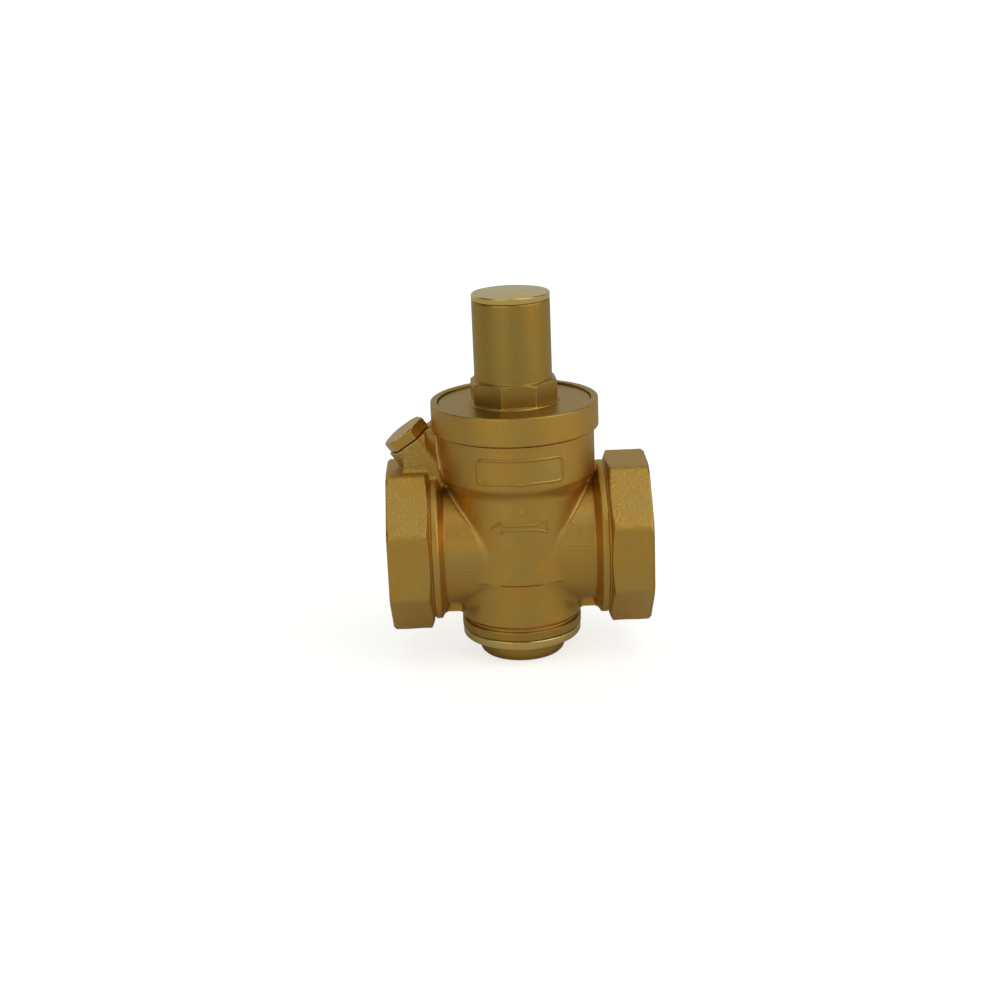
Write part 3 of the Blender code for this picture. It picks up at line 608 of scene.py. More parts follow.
VERTICAL_CORE = [
    (0.0, RIM_LOW - OVERRUN),
    (PLUG_SEAL_R, RIM_LOW - OVERRUN), (PLUG_SEAL_R, PLUG_SEAL_TOP),  # seat of the plug's O-ring
    (18.0, PLUG_SEAL_TOP), (18.0, PLUG_BORE_TOP),  # bottom plug's thread
    (16.5, PLUG_BORE_TOP), (16.5, SEAT_WALL_Z[0]),  # inlet chamber
    (SEAT_HOLE_R, SEAT_WALL_Z[0]), (SEAT_HOLE_R, SEAT_WALL_Z[1]),
    (17.0, SEAT_WALL_Z[1]), (17.0, PISTON_BORE_Z[0]),  # outlet chamber
    (PISTON_BORE_R, PISTON_BORE_Z[0]), (PISTON_BORE_R, PISTON_BORE_Z[1]),
    (BONNET_BORE_R, PISTON_BORE_Z[1]), (BONNET_BORE_R, COLLAR_TOP + OVERRUN),
    (0.0, COLLAR_TOP + OVERRUN),
]


def body_field(x, y, z):
    """Forged body: pipe, barrel, ribs and gauge boss, less the passages."""
    ribs = box_field(np.abs(x), y, z, RIB_SPANS)
    lower_half = np.clip((-z - 8.0) / 8.0, 0.0, 1.0)
    barrel = turned(length(x, y), z, BARREL_OUTLINE)
    outside = join(barrel, pipe(x, y, z), 0.9 + 1.6 * lower_half)
    outside = join(outside, ribs, 1.6)
    outside = join(outside, gauge_boss(x, y, z), 1.4)
    waves = np.sin(0.55 * x + 1.3) * np.sin(0.48 * y + 0.4) * np.sin(0.61 * z + 2.1)
    uneven = np.clip((COLLAR_LOW - z) / 2.0, 0.0, 1.0) * np.clip((FACE_X - np.abs(x)) / 2.0, 0.0, 1.0)
    return cut(outside - WAVE_HEIGHT * waves * uneven, passages(x, y, z), 0.3)


def face_centres(obj):
    """Centre of every face, as x, y, z arrays in the distance fields' coordinates."""
    centres = np.empty(len(obj.data.polygons) * 3, np.float32)
    obj.data.polygons.foreach_get("center", centres)
    x, y, z = centres.reshape(-1, 3).T.astype(float) / MM
    return x, y, z - PIPE_Z


def two_looks(obj, main, other, where):
    """Give an object its main look, and the other look to the faces picked by where."""
    for look in (main, other):
        obj.data.materials.append(MATERIALS[look])
    obj.data.polygons.foreach_set("material_index", where.astype(np.int32))


def machined(x, y, z):
    """True on the body's faces that a tool has cut: port faces, rims and every bore."""
    cut_flat = (np.abs(x) > FACE_X - 0.5) | (z > COLLAR_TOP - 0.25) | (z < RIM_TOP + 0.15)
    return cut_flat | (np.abs(passages(x, y, z)) < 0.25)


def valve_body():
    """Forged body as one solid, and the threads of its two ports as sleeves inside it."""
    rings_x = (SHOULDER_X - 0.4, END_INNER_X + 0.6)
    body = field_solid(
        "valve_body_forging", body_field,
        (-FACE_X - 0.6, -COLLAR_R, RIM_LOW), (FACE_X, COLLAR_R, COLLAR_TOP), 0.8,
        bands=(
            (rings_x, (-rings_x[1], -rings_x[0])), (),
            ((RIM_LOW - 0.3, RIM_TOP + 2.0), (BODY_STEP_Z - 2.2, BODY_STEP_Z + 0.6),
             (COLLAR_LOW - 1.0, COLLAR_LOW + 0.6), (COLLAR_TOP - 0.5, COLLAR_TOP)),
        ),
    )
    two_looks(body, "forged_brass", "turned_brass", machined(*face_centres(body)))
    threads = []
    for name, side in (("inlet_thread", 1), ("outlet_thread", -1)):
        to_model = Matrix.Rotation(side * math.pi / 2.0, 4, "Y")
        threads.append(thread_ring(
            name, (PORT_CREST_R, PORT_ROOT_R, PORT_RING_R - 0.05), (THREAD_END_X, FACE_X - 0.02),
            PORT_PITCH, to_model, flared=True,
        ))
    return [body] + threads


# ------ raised lines on the body

def spread(corners, closed, step=0.45):
    """Points at even steps along a line through the corners."""
    corners = np.array(corners, float)
    if closed:
        corners = np.vstack([corners, corners[:1]])
    gaps = np.linalg.norm(np.diff(corners, axis=0), axis=1)
    travelled = np.concatenate([[0.0], np.cumsum(gaps)])
    count = int(travelled[-1] / step) + 1
    places = np.linspace(0.0, travelled[-1], count, endpoint=not closed)
    return np.stack([np.interp(places, travelled, column) for column in corners.T], 1)


def bead(name, corners, thickness, sunk=0.0, closed=False):
    """Raised line on the body: a round bead, sunk in by a share of its radius, with fading ends."""
    sides = 8
    points = settle(body_field, spread(corners, closed), 4, step=0.05)
    count = len(points)
    if closed:
        along = np.roll(points, -1, 0) - np.roll(points, 1, 0)
        radii = np.full(count, thickness)
    else:
        along = np.gradient(points, axis=0)
        from_end = np.minimum(np.arange(count), np.arange(count)[::-1]) / (0.2 * count)
        radii = thickness * np.clip(from_end, 0.12, 1.0)
    out = unit(slopes(body_field, points, 0.3))
    sideways = unit(np.cross(along, out))
    points = points - out * (sunk * radii)[:, None]
    around = round_steps(sides)[:, None]
    offsets = np.cos(around) * sideways[:, None] + np.sin(around) * out[:, None]
    vertices = (points[:, None] + radii[:, None, None] * offsets).reshape(-1, 3)
    rings = np.arange(count * sides).reshape(count, sides).tolist()
    faces = bridge(rings, closed)
    if not closed:
        faces += [rings[0][::-1], rings[-1]]
    return mesh_object(name, vertices, faces)


def on_barrel(radius, outline):
    """Outline of (x, z) points wrapped round the front of the upright barrel."""
    return [(x, -math.sqrt(radius ** 2 - x ** 2), z) for x, z in outline]


def crease(side, front, heights):
    """Points on the line where the barrel meets the tube, on the +X or -X side, front (-Y) or back."""
    line = []
    for z in heights:
        y = math.sqrt(max(TUBE_R ** 2 - z ** 2, 0.0))
        line.append((side * math.sqrt(BODY_R ** 2 - y ** 2), -y if front else y, z))
    return line


def raised_lines():
    """Flash along the creases, parting lines, the blank name plate's frame and the flow arrow."""
    plate = soften([(-13.2, 27.5), (14.6, 27.5), (14.6, 35.5), (-13.2, 35.5)], 1.6, 4)
    arrow = [
        (-9.2, 11.6), (-6.0, 9.5), (-6.0, 10.8), (5.6, 10.8), (9.0, 9.4), (9.0, 13.8), (5.6, 12.4),
        (-6.0, 12.4), (-6.0, 13.7),
    ]
    web_edge = [
        (-29.0, -5.0, 43.6), (-28.2, -5.0, 42.0), (-26.9, -5.2, 39.4), (-26.2, -5.2, 34.4),
        (-25.9, -5.3, 29.0), (-25.6, -5.2, 24.5), (-24.0, -5.2, 21.4),
    ]
    pocket = [(25.6, -5.0, 24.4)]
    falling = (19.5, 17.0, 14.0, 11.0, 8.0)
    return [
        bead("name_plate_frame", on_barrel(UPPER_R, plate), 0.65, 0.45, closed=True),
        bead("flow_arrow", on_barrel(BODY_R, arrow), 0.5, 0.45, closed=True),
        bead("web_flash", web_edge + crease(-1, True, falling), 1.0),
        bead("crease_flash_right", pocket + crease(1, True, (20.4,) + falling), 0.85),
        bead("crease_flash_back_left", crease(-1, False, falling), 0.8),
        bead("crease_flash_back_right", crease(1, False, falling), 0.8),
        bead("parting_line_left", [(-24.3, -21.0, -3.3), (-14.0, -21.0, -3.8)], 0.25, 0.4),
        bead("parting_line_right", [(15.0, -21.0, 3.8), (24.8, -21.0, 3.3)], 0.25, 0.4),
        bead("parting_line_right_low", [(16.8, -21.0, 2.3), (24.6, -21.0, 2.0)], 0.2, 0.4),
    ]


# ------ bonnet, plugs, screw

def bonnet_field(x, y, z):
    """Bonnet disc, spanner octagon and spring tube, bored for the spring and the screw."""
    radius = length(x, y)
    disc_low, disc_high = BONNET_DISC_Z
    nut_high = BONNET_NUT_Z[1]
    disc = turned(radius, z, BONNET_OUTLINE)
    chamfered = turned(radius, z, [
        (0.0, disc_high - 0.5), (BONNET_NUT_CORNER_R, disc_high - 0.5),
        (BONNET_NUT_CORNER_R, nut_high - 1.0), (BONNET_NUT_FLATS / 2.0, nut_high), (0.0, nut_high),
    ])
    phase = BONNET_NUT_PHASE - math.pi / 2.0
    octagon = overlap(prism_field(x, y, 8, BONNET_NUT_FLATS, phase, 0.25), chamfered, 0.2)
    bore = turned(radius, z, [
        (0.0, disc_low - OVERRUN), (SPRING_BORE_R, disc_low - OVERRUN), (SPRING_BORE_R, SCREW_BORE_Z[0]),
        (SCREW_BORE_R, SCREW_BORE_Z[0]), (SCREW_BORE_R, SCREW_BORE_Z[1]), (LID_BORE_R, SCREW_BORE_Z[1]),
        (LID_BORE_R, CAP_TOP + OVERRUN), (0.0, CAP_TOP + OVERRUN),
    ])
    return cut(join(disc, octagon, 0.35), bore, 0.2)


BONNET_OUTLINE = soften([
    (0.0, BONNET_DISC_Z[0]), (BONNET_DISC_R, BONNET_DISC_Z[0]), (BONNET_DISC_R, BONNET_DISC_Z[1]),
    (BONNET_FOOT_R, BONNET_DISC_Z[1], 0.1),
    (BONNET_FOOT_R - 0.2, BONNET_DISC_Z[1] + BONNET_FOOT_HEIGHT, 0.15),
    (CAP_R, BONNET_DISC_Z[1] + BONNET_FOOT_HEIGHT),
    (CAP_R, CAP_TOP), (0.0, CAP_TOP),
], 0.35)


def bottom_plug_field(x, y, z):
    """Bottom plug: head, sealing ring, thread, guide and the cylinder for the balancing skirt."""
    hexagon = prism_field(x, y, 6, PLUG_SOCKET_FLATS, 0.0, 0.3)
    socket = np.maximum(hexagon, z - (PLUG_LOW + PLUG_SOCKET_DEPTH))
    return cut(turned(length(x, y), z, BOTTOM_PLUG_OUTLINE), socket, 0.4)


BOTTOM_PLUG_OUTLINE = soften([
    (0.0, PLUG_LOW), (PLUG_HEAD_R, PLUG_LOW, 4.5), (PLUG_HEAD_R, PLUG_RING_Z[0], 0.3),
    (PLUG_RING_R, PLUG_RING_Z[0], 1.2), (PLUG_RING_R, PLUG_RING_Z[1], 0.5),
    (PLUG_NECK_R, PLUG_RING_Z[1], 0.2),
    (PLUG_NECK_R, PLUG_THREAD_Z[0] - 0.5, 0.1), (PLUG_THREAD_R, PLUG_THREAD_Z[0], 0.1),
    (PLUG_THREAD_R, PLUG_THREAD_Z[1]), (PLUG_GUIDE_R, PLUG_THREAD_Z[1]), (PLUG_GUIDE_R, PLUG_TOP, 0.4),
    (PLUG_BORE_R, PLUG_TOP, 0.4), (PLUG_BORE_R, PLUG_BORE_LOW, 0.4), (0.0, PLUG_BORE_LOW),
], 0.6, 5)


def gauge_plug_field(x, y, z):
    """Gauge port plug in its own frame: chamfered hexagon and threaded shank."""
    radius = length(x, y)
    corner_r = GAUGE_HEX_FLATS / math.sqrt(3.0)
    chamfered = turned(radius, z, [
        (0.0, GAUGE_HEX_LOW), (corner_r + 1.0, GAUGE_HEX_LOW), (corner_r + 1.0, -1.2),
        (corner_r - 0.9, 0.0), (0.0, 0.0),
    ])
    hexagon = overlap(prism_field(x, y, 6, GAUGE_HEX_FLATS, GAUGE_HEX_PHASE, 0.25), chamfered, 0.2)
    shank = turned(radius, z, [
        (0.0, GAUGE_SHANK_LOW), (GAUGE_SHANK_R - 0.45, GAUGE_SHANK_LOW),
        (GAUGE_SHANK_R, GAUGE_SHANK_LOW + 0.5), (GAUGE_SHANK_R, -4.7), (GAUGE_SHANK_R - 0.2, -4.5),
        (GAUGE_SHANK_R - 0.2, -1.0), (0.0, -1.0),
    ])
    return np.minimum(hexagon, shank)


def screw_field(x, y, z):
    """Adjusting screw: threaded all along, with a hexagon socket."""
    low, high = node_span("adjusting_screw", 2)
    chamfer = 0.9
    radius = length(x, y)
    phase = (z / SCREW_PITCH - np.arctan2(y, x) / (2.0 * math.pi)) % 1.0
    thread = radius - SCREW_MEAN_R - SCREW_THREAD_HALF * np.cos(2.0 * math.pi * phase)
    ends = turned(radius, z, [
        (0.0, low), (SCREW_R - chamfer, low), (SCREW_R, low + chamfer), (SCREW_R, high - chamfer),
        (SCREW_R - chamfer, high), (0.0, high),
    ])
    socket = np.maximum(prism_field(x, y, 6, SCREW_SOCKET_FLATS, 0.0, 0.2), high - SCREW_SOCKET_DEPTH - z)
    return cut(overlap(thread, ends, 0.1), socket, 0.2)


def nut_field(node):
    """Hexagon nut with chamfered corners and a bevelled hole, sized by its CAD node."""
    low, high = node_span(node, 2)
    half_flats = node_span(node, 1)[1]
    corner_r = half_flats * 2.0 / math.sqrt(3.0)
    hole_r, bevel = 3.8, 0.4

    def field(x, y, z):
        radius = length(x, y)
        chamfered = turned(radius, z, [
            (hole_r, low + bevel), (hole_r + bevel, low), (half_flats - 0.1, low), (corner_r, low + 0.6),
            (corner_r, high - 0.6), (half_flats - 0.1, high), (hole_r + bevel, high),
            (hole_r, high - bevel),
        ])
        return overlap(prism_field(x, y, 6, half_flats * 2.0, 0.0, 0.2), chamfered, 0.15)

    return field


def spring_wire(name):
    """Round wire wound from the plate down to the piston, closed at both ends."""
    low, high = node_span("spring", 2)
    outer_r = node_span("spring", 1)[1]
    wire_r, end_pitch, active_turns = 1.5, 3.3, 4.5
    steps_per_turn, sides = 40, 14
    total_turns = active_turns + 2.0
    active_rise = high - low - 2.0 * wire_r - 2.0 * end_pitch
    turns = np.arange(round(total_turns * steps_per_turn) + 1)[:, None] / steps_per_turn
    rises = np.cumsum([0.0, end_pitch, active_rise, end_pitch])
    rise = np.interp(turns, (0.0, 1.0, 1.0 + active_turns, total_turns), rises)
    angle = 2.0 * math.pi * turns
    around = round_steps(sides)
    radius = outer_r - wire_r + wire_r * np.cos(around)
    height = low + wire_r + rise + wire_r * np.sin(around)
    vertices, rings = stacked_rings(radius, angle, height)
    return mesh_object(name, vertices, bridge(rings) + [rings[0][::-1], rings[-1]])


# ------ materials

def connect(tree, made, inputs):
    """Set inputs of a node; each is a value or another node's output."""
    for key, value in inputs.items():
        if isinstance(value, bpy.types.NodeSocket):
            tree.links.new(value, made.inputs[key])
        elif made.inputs[key].type == "RGBA":
            made.inputs[key].default_value = (*value, 1.0)
        else:
            made.inputs[key].default_value = value


def new_node(tree, kind, inputs=None, **settings):
    """New node with its settings and inputs."""
    made = tree.nodes.new(kind)
    for key, value in settings.items():
        setattr(made, key, value)
    connect(tree, made, inputs or {})
    return made


class Shader:
    """One material's node tree, with coordinates in millimetres."""

    def __init__(self, name):
        self.material = bpy.data.materials.new(name)
        self.material.use_nodes = True
        self.tree = self.material.node_tree
        self.node = functools.partial(new_node, self.tree)
        self.surface = self.tree.nodes["Principled BSDF"]
        coordinates = self.node("ShaderNodeTexCoord").outputs["Object"]
        scaled = self.node("ShaderNodeVectorMath", {0: coordinates, 3: 1.0 / MM}, operation="SCALE")
        self.place = scaled.outputs[0]

    def axes(self):
        """The three coordinates, each as a value."""
        return self.node("ShaderNodeSeparateXYZ", {0: self.place}).outputs

    def noise(self, scale, detail=3.0, vector=None, roughness=0.5):
        """Noise between 0 and 1; scale is in features per millimetre."""
        made = self.node("ShaderNodeTexNoise", {
            "Vector": self.place if vector is None else vector, "Scale": scale, "Detail": detail,
            "Roughness": roughness,
        })
        return made.outputs["Fac"]

    def span(self, value, low, high, to_low=0.0, to_high=1.0):
        """Value mapped from low..high to to_low..to_high, and clamped."""
        return self.node("ShaderNodeMapRange", {
            "Value": value, "From Min": low, "From Max": high, "To Min": to_low, "To Max": to_high,
        }).outputs["Result"]

    def math(self, operation, first, second=0.0):
        """One arithmetic step."""
        return self.node("ShaderNodeMath", {0: first, 1: second}, operation=operation).outputs[0]

    def mix(self, share, first, second):
        """Colour between first and second."""
        return self.node("ShaderNodeMix", {0: share, 6: first, 7: second}, data_type="RGBA").outputs[2]

    def grooves(self, scale):
        """Fine rings round the vertical axis, as a lathe tool leaves them, on faces and cylinders."""
        x, y, z = self.axes()
        squares = [self.math("POWER", value, 2.0) for value in (x, y)]
        radius = self.math("SQRT", self.math("ADD", *squares))
        flat = self.node("ShaderNodeCombineXYZ", {0: radius, 2: z})
        return self.noise(scale, 4.0, flat.outputs[0], 0.7)

    def finish(self, colour, roughness, metallic, bumps):
        """Set the surface from its colour, roughness and (height, strength, depth in mm) bumps."""
        normal = None
        for height, strength, depth in bumps:
            settings = {"Height": height, "Strength": strength, "Distance": depth * MM}
            if normal is not None:
                settings["Normal"] = normal
            normal = self.node("ShaderNodeBump", settings).outputs["Normal"]
        inputs = {"Base Color": colour, "Roughness": roughness, "Metallic": metallic, "Normal": normal}
        connect(self.tree, self.surface, inputs)
        return self.material


def brass(name, base, roughness, blasted, turned_depth):
    """Patchy brass: grainy where it is blasted, most at the pipe ends, and ringed where it is turned."""
    shader = Shader(name)

    def tint(*shares):
        return tuple(min(channel * share, 1.0) for channel, share in zip(base, shares))

    dull = tint(0.80, 0.78, 0.74)
    # whiter brass for painted highlights and glints
    highlight_tint = tint(1.3, 1.34, 1.7)

    # wide patches and small dull spots
    patches = shader.span(shader.noise(0.09), 0.35, 0.65)
    colour = shader.mix(patches, tint(1.05, 0.97, 0.84), tint(0.93, 0.99, 1.16))
    spots = shader.span(shader.noise(0.7, 4.0, roughness=0.65), 0.3, 0.7)
    colour = shader.mix(shader.span(spots, 0.0, 1.0, 0.22 * blasted, 0.0), colour, dull)

    # pits, and bright flecks that are painted glints, where blasting has left the skin coarse
    x, _, z = shader.axes()
    at_ends = shader.span(shader.math("ABSOLUTE", x), 26.0, 31.0, 0.35, 1.0)
    high_up = shader.span(z, PIPE_Z + 6.0, PIPE_Z + 14.0, 0.35 * blasted, blasted)
    coarse = shader.math("MULTIPLY", at_ends, high_up)
    pits = shader.node("ShaderNodeTexVoronoi", {"Vector": shader.place, "Scale": 1.1}, feature="F1")
    pit = shader.span(pits.outputs["Distance"], 0.10, 0.24, 1.0, 0.0)
    pit = shader.math("MULTIPLY", pit, shader.span(shader.noise(0.35, 2.0), 0.54, 0.62))
    pit = shader.math("MULTIPLY", pit, coarse)
    colour = shader.mix(shader.math("MULTIPLY", pit, 0.7), colour, dull)
    painted_glint = shader.math("MULTIPLY", shader.span(shader.noise(1.25, 2.0, roughness=0.6), 0.60, 0.69), coarse)
    colour = shader.mix(shader.math("MULTIPLY", painted_glint, 0.7), colour, highlight_tint)

    # painted highlight and a little less roughness on convex edges, painted shade in creases
    worn = shader.node("ShaderNodeNewGeometry").outputs["Pointiness"]
    edge = shader.span(worn, 0.53, 0.62)
    crease = shader.span(worn, 0.47, 0.40)
    # painted highlight: convex edges pulled towards a whiter brass
    colour = shader.mix(shader.math("MULTIPLY", edge, 0.5), colour, highlight_tint)
    # painted shade: creases darkened
    colour = shader.mix(shader.math("MULTIPLY", crease, 0.45), colour, tint(0.55, 0.5, 0.5))
    rough = shader.span(spots, 0.0, 1.0, roughness - 0.05, roughness + 0.06)
    rough = shader.math("SUBTRACT", rough, shader.math("MULTIPLY", edge, 0.08))

    # relief
    pebbles = shader.math("MULTIPLY", shader.noise(1.15, roughness=0.6), coarse)
    grain = shader.noise(2.6, roughness=0.7)
    bumps = [(grain, 0.5 * blasted, 0.05)]
    if blasted > 0.4:
        bumps += [(pebbles, 0.9, 0.30), (pit, -0.5, 0.10)]
    if turned_depth:
        bumps.append((shader.grooves(3.5), 0.5, turned_depth))
    return shader.finish(colour, rough, 1.0, bumps)


def steel(name, base, roughness):
    """Machined steel with tool rings and faint stains."""
    shader = Shader(name)
    stains = shader.span(shader.noise(0.25, 4.0), 0.35, 0.7)
    colour = shader.mix(stains, base, tuple(0.78 * channel for channel in base))
    rings = shader.grooves(4.5)
    rough = shader.span(rings, 0.3, 0.7, roughness - 0.06, roughness + 0.08)
    return shader.finish(colour, rough, 1.0, [(rings, 0.4, 0.02)])


def soft_plastic(name, base, worn, roughness):
    """Moulded rubber or PTFE: a faint mottle and a fine matt grain."""
    shader = Shader(name)
    mottle = shader.span(shader.noise(0.6, 4.0), 0.3, 0.7)
    colour = shader.mix(mottle, base, worn)
    grain = shader.noise(6.0)
    rough = shader.span(mottle, 0.0, 1.0, roughness - 0.08, roughness + 0.08)
    return shader.finish(colour, rough, 0.0, [(grain, 0.3, 0.02)])


BRASS = (0.66, 0.41, 0.094)
LOOKS = {
    # material: the function that makes it, then its arguments after the name
    "forged_brass": (brass, BRASS, 0.42, 1.0, 0.0),
    "turned_brass": (brass, (0.53, 0.345, 0.079), 0.36, 0.3, 0.008),
    "bright_brass": (brass, BRASS, 0.30, 0.1, 0.003),
    "polished_brass": (brass, (0.86, 0.64, 0.22), 0.19, 0.05, 0.002),
    # brighter brass on the flash beads: a painted highlight along the creases
    "worn_brass": (brass, (0.80, 0.56, 0.18), 0.50, 0.5, 0.0),
    "stainless_steel": (steel, (0.62, 0.61, 0.58), 0.28),
    "spring_steel": (steel, (0.30, 0.31, 0.33), 0.35),
    "black_rubber": (soft_plastic, (0.018, 0.018, 0.018), (0.035, 0.035, 0.033), 0.62),
    "white_ptfe": (soft_plastic, (0.84, 0.83, 0.79), (0.74, 0.73, 0.69), 0.45),
}
MATERIALS = {name: make(name + "_look", *settings) for name, (make, *settings) in LOOKS.items()}


def dress(obj, look, body, slot=None):
    """Give a piece its material and the body it rides on; its record slot is not used."""
    if not obj.data.materials:
        obj.data.materials.append(MATERIALS[look])
    slot or look
    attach(obj, body)


def stand_in(obj, node, look, slot=None):
    """Show a piece in place of a CAD node, on the node's body."""
    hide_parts(node)
    bodies = frame["record"]["behaviour"]["bodies"]
    dress(obj, look, next(body for body, nodes in bodies.items() if node in nodes), slot)


def round_solid(name, field, reach, heights, cell, to_model=None):
    """Mesh a field solid that lies within reach of the vertical axis."""
    low, high = heights
    return field_solid(name, field, (-reach, -reach, low), (reach, reach, high), cell, to_model)


# ------ assembly

def o_ring(name, node):
    """O-ring with a round section, sized by its CAD node."""
    sides = 20
    low, high = node_span(node, 2)
    outer_r = node_span(node, 0)[1]
    inner_r = min(radius for radius, _ in meridian(node))
    wire_r = (outer_r - inner_r) / 2.0
    centre_r, centre_z = inner_r + wire_r, (low + high) / 2.0
    outline = [
        (centre_r + wire_r * math.cos(a), centre_z + wire_r * math.sin(a)) for a in round_steps(sides)
    ]
    return turn(name, outline, rounding=0.0)


def fixed_pieces():
    """Body, bonnet, plugs and gasket."""
    body, *threads = valve_body()
    stand_in(body, "valve_body", "forged_brass")
    for thread in threads:
        dress(thread, "forged_brass", "valve")
    for line in raised_lines():
        # the flash beads get the brighter brass, a painted highlight
        dress(line, "worn_brass" if "flash" in line.name else "forged_brass", "valve", "forged_brass")
    bonnet_z = (BONNET_DISC_Z[0], CAP_TOP)
    bonnet = round_solid("bonnet_turning", bonnet_field, BONNET_DISC_R, bonnet_z, 0.5)
    stand_in(bonnet, "bonnet", "turned_brass")
    plug_z = node_span("bottom_plug", 2)
    plug = round_solid("bottom_plug_turning", bottom_plug_field, PLUG_RING_R, plug_z, 0.45)
    _, _, height = face_centres(plug)
    on_ring = (height > PLUG_RING_Z[0] - 0.05) & (height < PLUG_RING_Z[1] + 0.1)
    two_looks(plug, "turned_brass", "polished_brass", on_ring)
    stand_in(plug, "bottom_plug", "turned_brass")
    to_model = Matrix.Translation(GAUGE_FACE) @ Matrix.Rotation(-GAUGE_TILT, 4, "Y")
    gauge_z = (GAUGE_SHANK_LOW, 0.0)
    gauge = round_solid("gauge_plug_turning", gauge_plug_field, GAUGE_REACH, gauge_z, 0.3, to_model)
    stand_in(gauge, "gauge_plug", "bright_brass", "turned_brass")
    (inner_r, outer_r), (low, high) = GASKET_R, GASKET_Z
    section = [(inner_r, low), (outer_r, low), (outer_r, high), (inner_r, high)]
    stand_in(turn("gauge_gasket_ring", section, 64, 0.15, to_model), "gauge_plug_gasket", "black_rubber")
    radii = (SCREW_BORE_R - 0.45, SCREW_BORE_R - 0.1, SCREW_BORE_R - 0.03)
    dress(thread_ring("bonnet_thread", radii, SCREW_BORE_Z, SCREW_PITCH), "turned_brass", "valve")


def turned_pieces():
    """Every piece that is round all over, turned again from its CAD outline."""
    looks = {
        "seat_ring": "stainless_steel", "lid": "polished_brass", "upper_spring_plate": "stainless_steel",
        "piston": "turned_brass", "piston_guide_ring": "white_ptfe", "stem": "stainless_steel",
        "disc_washer": "stainless_steel", "disc_seal": "black_rubber", "disc_holder": "turned_brass",
    }
    for node, look in looks.items():
        outline = meridian(node)
        if node == "lid":
            outline = [
                (radius, LID_SHOWN_LOW_Z if height == LID_LOW_Z else height) for radius, height in outline
            ]
        stand_in(turn(node + "_turning", outline), node, look, look.replace("polished", "turned"))
    for node in ("bottom_plug_o_ring", "lid_o_ring", "piston_o_ring", "balance_o_ring"):
        stand_in(o_ring(node + "_moulding", node), node, "black_rubber")


def threaded_pieces():
    """Adjusting screw and the two nuts."""
    screw_z = node_span("adjusting_screw", 2)
    screw = round_solid("adjusting_screw_turning", screw_field, SCREW_R, screw_z, 0.3)
    stand_in(screw, "adjusting_screw", "turned_brass")
    for node in ("piston_nut", "disc_nut"):
        reach = node_span(node, 0)[1]
        nut = round_solid(node + "_turning", nut_field(node), reach, node_span(node, 2), 0.3)
        stand_in(nut, node, "stainless_steel")


def spring_piece():
    """Spring coil in place of its CAD node, with a mesh of its own."""
    wire = spring_wire("spring_coil")
    stand_in(wire, "spring", "spring_steel")
    low, high = node_span("spring", 2)
    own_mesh(wire)


fixed_pieces()
turned_pieces()
threaded_pieces()
spring_piece()


# ------ light, floor, camera

def direction(azimuth, elevation):
    """Unit vector; azimuth 0 points at the viewer (-Y) and 90 to +X."""
    a, e = math.radians(azimuth), math.radians(elevation)
    return Vector((math.sin(a) * math.cos(e), -math.cos(a) * math.cos(e), math.sin(e)))


def studio_light():
    """Even room light with soft lobes, and a near-white backdrop for the camera alone."""
    world = bpy.data.worlds.new("studio")
    bpy.context.scene.world = world
    world.use_nodes = True
    world.node_tree.nodes.clear()
    node = functools.partial(new_node, world.node_tree)
    towards = node("ShaderNodeTexCoord").outputs["Generated"]
    total = ROOM_COLOUR
    for azimuth, elevation, width, colour in LIGHT_LOBES:
        aimed = {0: towards, 1: direction(azimuth, elevation)}
        dot = node("ShaderNodeVectorMath", aimed, operation="DOT_PRODUCT")
        share = node("ShaderNodeMapRange", {
            "Value": dot.outputs["Value"], "From Min": math.cos(math.radians(width)), "From Max": 1.0,
        }, interpolation_type="SMOOTHERSTEP")
        lobe = node("ShaderNodeVectorMath", {0: colour, 3: share.outputs["Result"]}, operation="SCALE")
        total = node("ShaderNodeVectorMath", {0: total, 1: lobe.outputs[0]}, operation="ADD").outputs[0]
    room = node("ShaderNodeBackground", {"Color": total})
    backdrop = node("ShaderNodeBackground", {"Color": BACKDROP})
    seen = node("ShaderNodeLightPath").outputs["Is Camera Ray"]
    mixed = node("ShaderNodeMixShader", {0: seen, 1: room.outputs[0], 2: backdrop.outputs[0]})
    node("ShaderNodeOutputWorld", {0: mixed.outputs[0]})


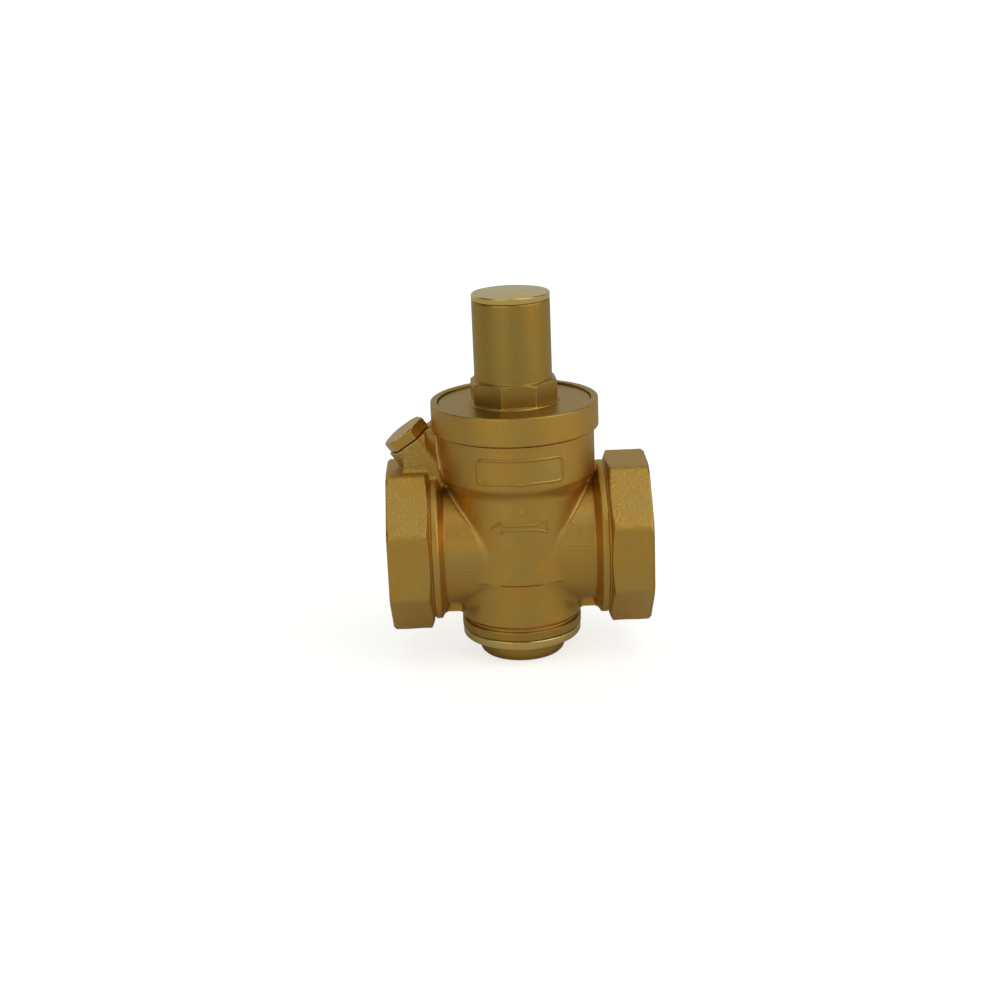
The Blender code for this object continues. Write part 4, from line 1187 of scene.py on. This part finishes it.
FLOOR_R = 4000.0
FLOOR_GLOW = 0.70  # added radiance, for the camera alone
PHOTO_AZIMUTH = -0.374  # this angle and the next two are in degrees
PHOTO_ELEVATION = 17.447
PHOTO_ROLL = -2.286
PHOTO_DISTANCE = 570.4
PHOTO_AIM = (-6.08, 0.0, 14.24)
PHOTO_LENS = 59.78
ROOM_COLOUR = (0.035, 0.035, 0.035)
BACKDROP = (1.0, 1.0, 1.0)
LIGHT_LOBES = [
    # azimuth, elevation, half width in degrees, added radiance
    (-125.0, 8.0, 42.0, (0.26, 0.26, 0.25)),
    (-32.0, 8.0, 34.0, (0.86, 0.91, 0.62)),
    (-4.0, 8.0, 32.0, (0.26, 0.23, 0.20)),
    (45.0, 8.0, 34.0, (0.54, 0.56, 0.46)),
    (75.0, 8.0, 34.0, (0.88, 0.79, 0.80)),
    (105.0, 8.0, 34.0, (0.17, 0.19, 0.18)),
    (180.0, 15.0, 70.0, (0.40, 0.41, 0.39)),
    (-50.0, 48.0, 38.0, (0.33, 0.30, 0.33)),
    (50.0, 48.0, 38.0, (0.90, 0.90, 0.96)),
    (0.0, 88.0, 45.0, (0.36, 0.39, 0.32)),
]


def pale_floor():
    """Wide pale disc under the valve, which the camera sees a little brighter than the metal does."""
    floor = mesh_object("floor", *stacked_rings(FLOOR_R, round_steps(96)[None, :], -PIPE_Z))
    shader = Shader("floor_paper")
    mottle = shader.span(shader.noise(0.02), 0.3, 0.7)
    colour = shader.mix(mottle, (0.77, 0.77, 0.75), (0.80, 0.80, 0.78))
    shader.finish(colour, 0.9, 0.0, [(shader.noise(0.8), 0.05, 0.05)])
    glow = shader.node("ShaderNodeEmission", {"Strength": FLOOR_GLOW})
    both = shader.node("ShaderNodeAddShader", {0: shader.surface.outputs[0], 1: glow.outputs[0]})
    seen = shader.node("ShaderNodeLightPath").outputs["Is Camera Ray"]
    mixed = shader.node("ShaderNodeMixShader", {0: seen, 1: shader.surface.outputs[0], 2: both.outputs[0]})
    connect(shader.tree, shader.tree.nodes["Material Output"], {0: mixed.outputs[0]})
    floor.data.materials.append(shader.material)
    floor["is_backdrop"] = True


def photo_camera():
    """Camera at the photograph's viewing angle: slightly above, and rolled a little."""
    camera = bpy.data.objects.new("camera", bpy.data.cameras.new("camera"))
    bpy.context.scene.collection.objects.link(camera)
    camera.data.lens = PHOTO_LENS
    camera.data.sensor_width = 36.0
    camera.data.clip_start = 0.01
    camera.data.clip_end = 20.0
    placed = Matrix.Translation((Vector(PHOTO_AIM) + Vector((0.0, 0.0, PIPE_Z))) * MM)
    for angle, axis in ((PHOTO_AZIMUTH, "Z"), (90.0 - PHOTO_ELEVATION, "X"), (PHOTO_ROLL, "Z")):
        placed @= Matrix.Rotation(math.radians(angle), 4, axis)
    camera.matrix_world = placed @ Matrix.Translation((0.0, 0.0, PHOTO_DISTANCE * MM))
    bpy.context.scene.camera = camera


studio_light()
pale_floor()
photo_camera()
bpy.context.scene.view_settings.view_transform = "Standard"

boxes = {"cad_box": CAD_BOX, "visual_box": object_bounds()}
{name: [list(corner) for corner in box] for name, box in boxes.items()}
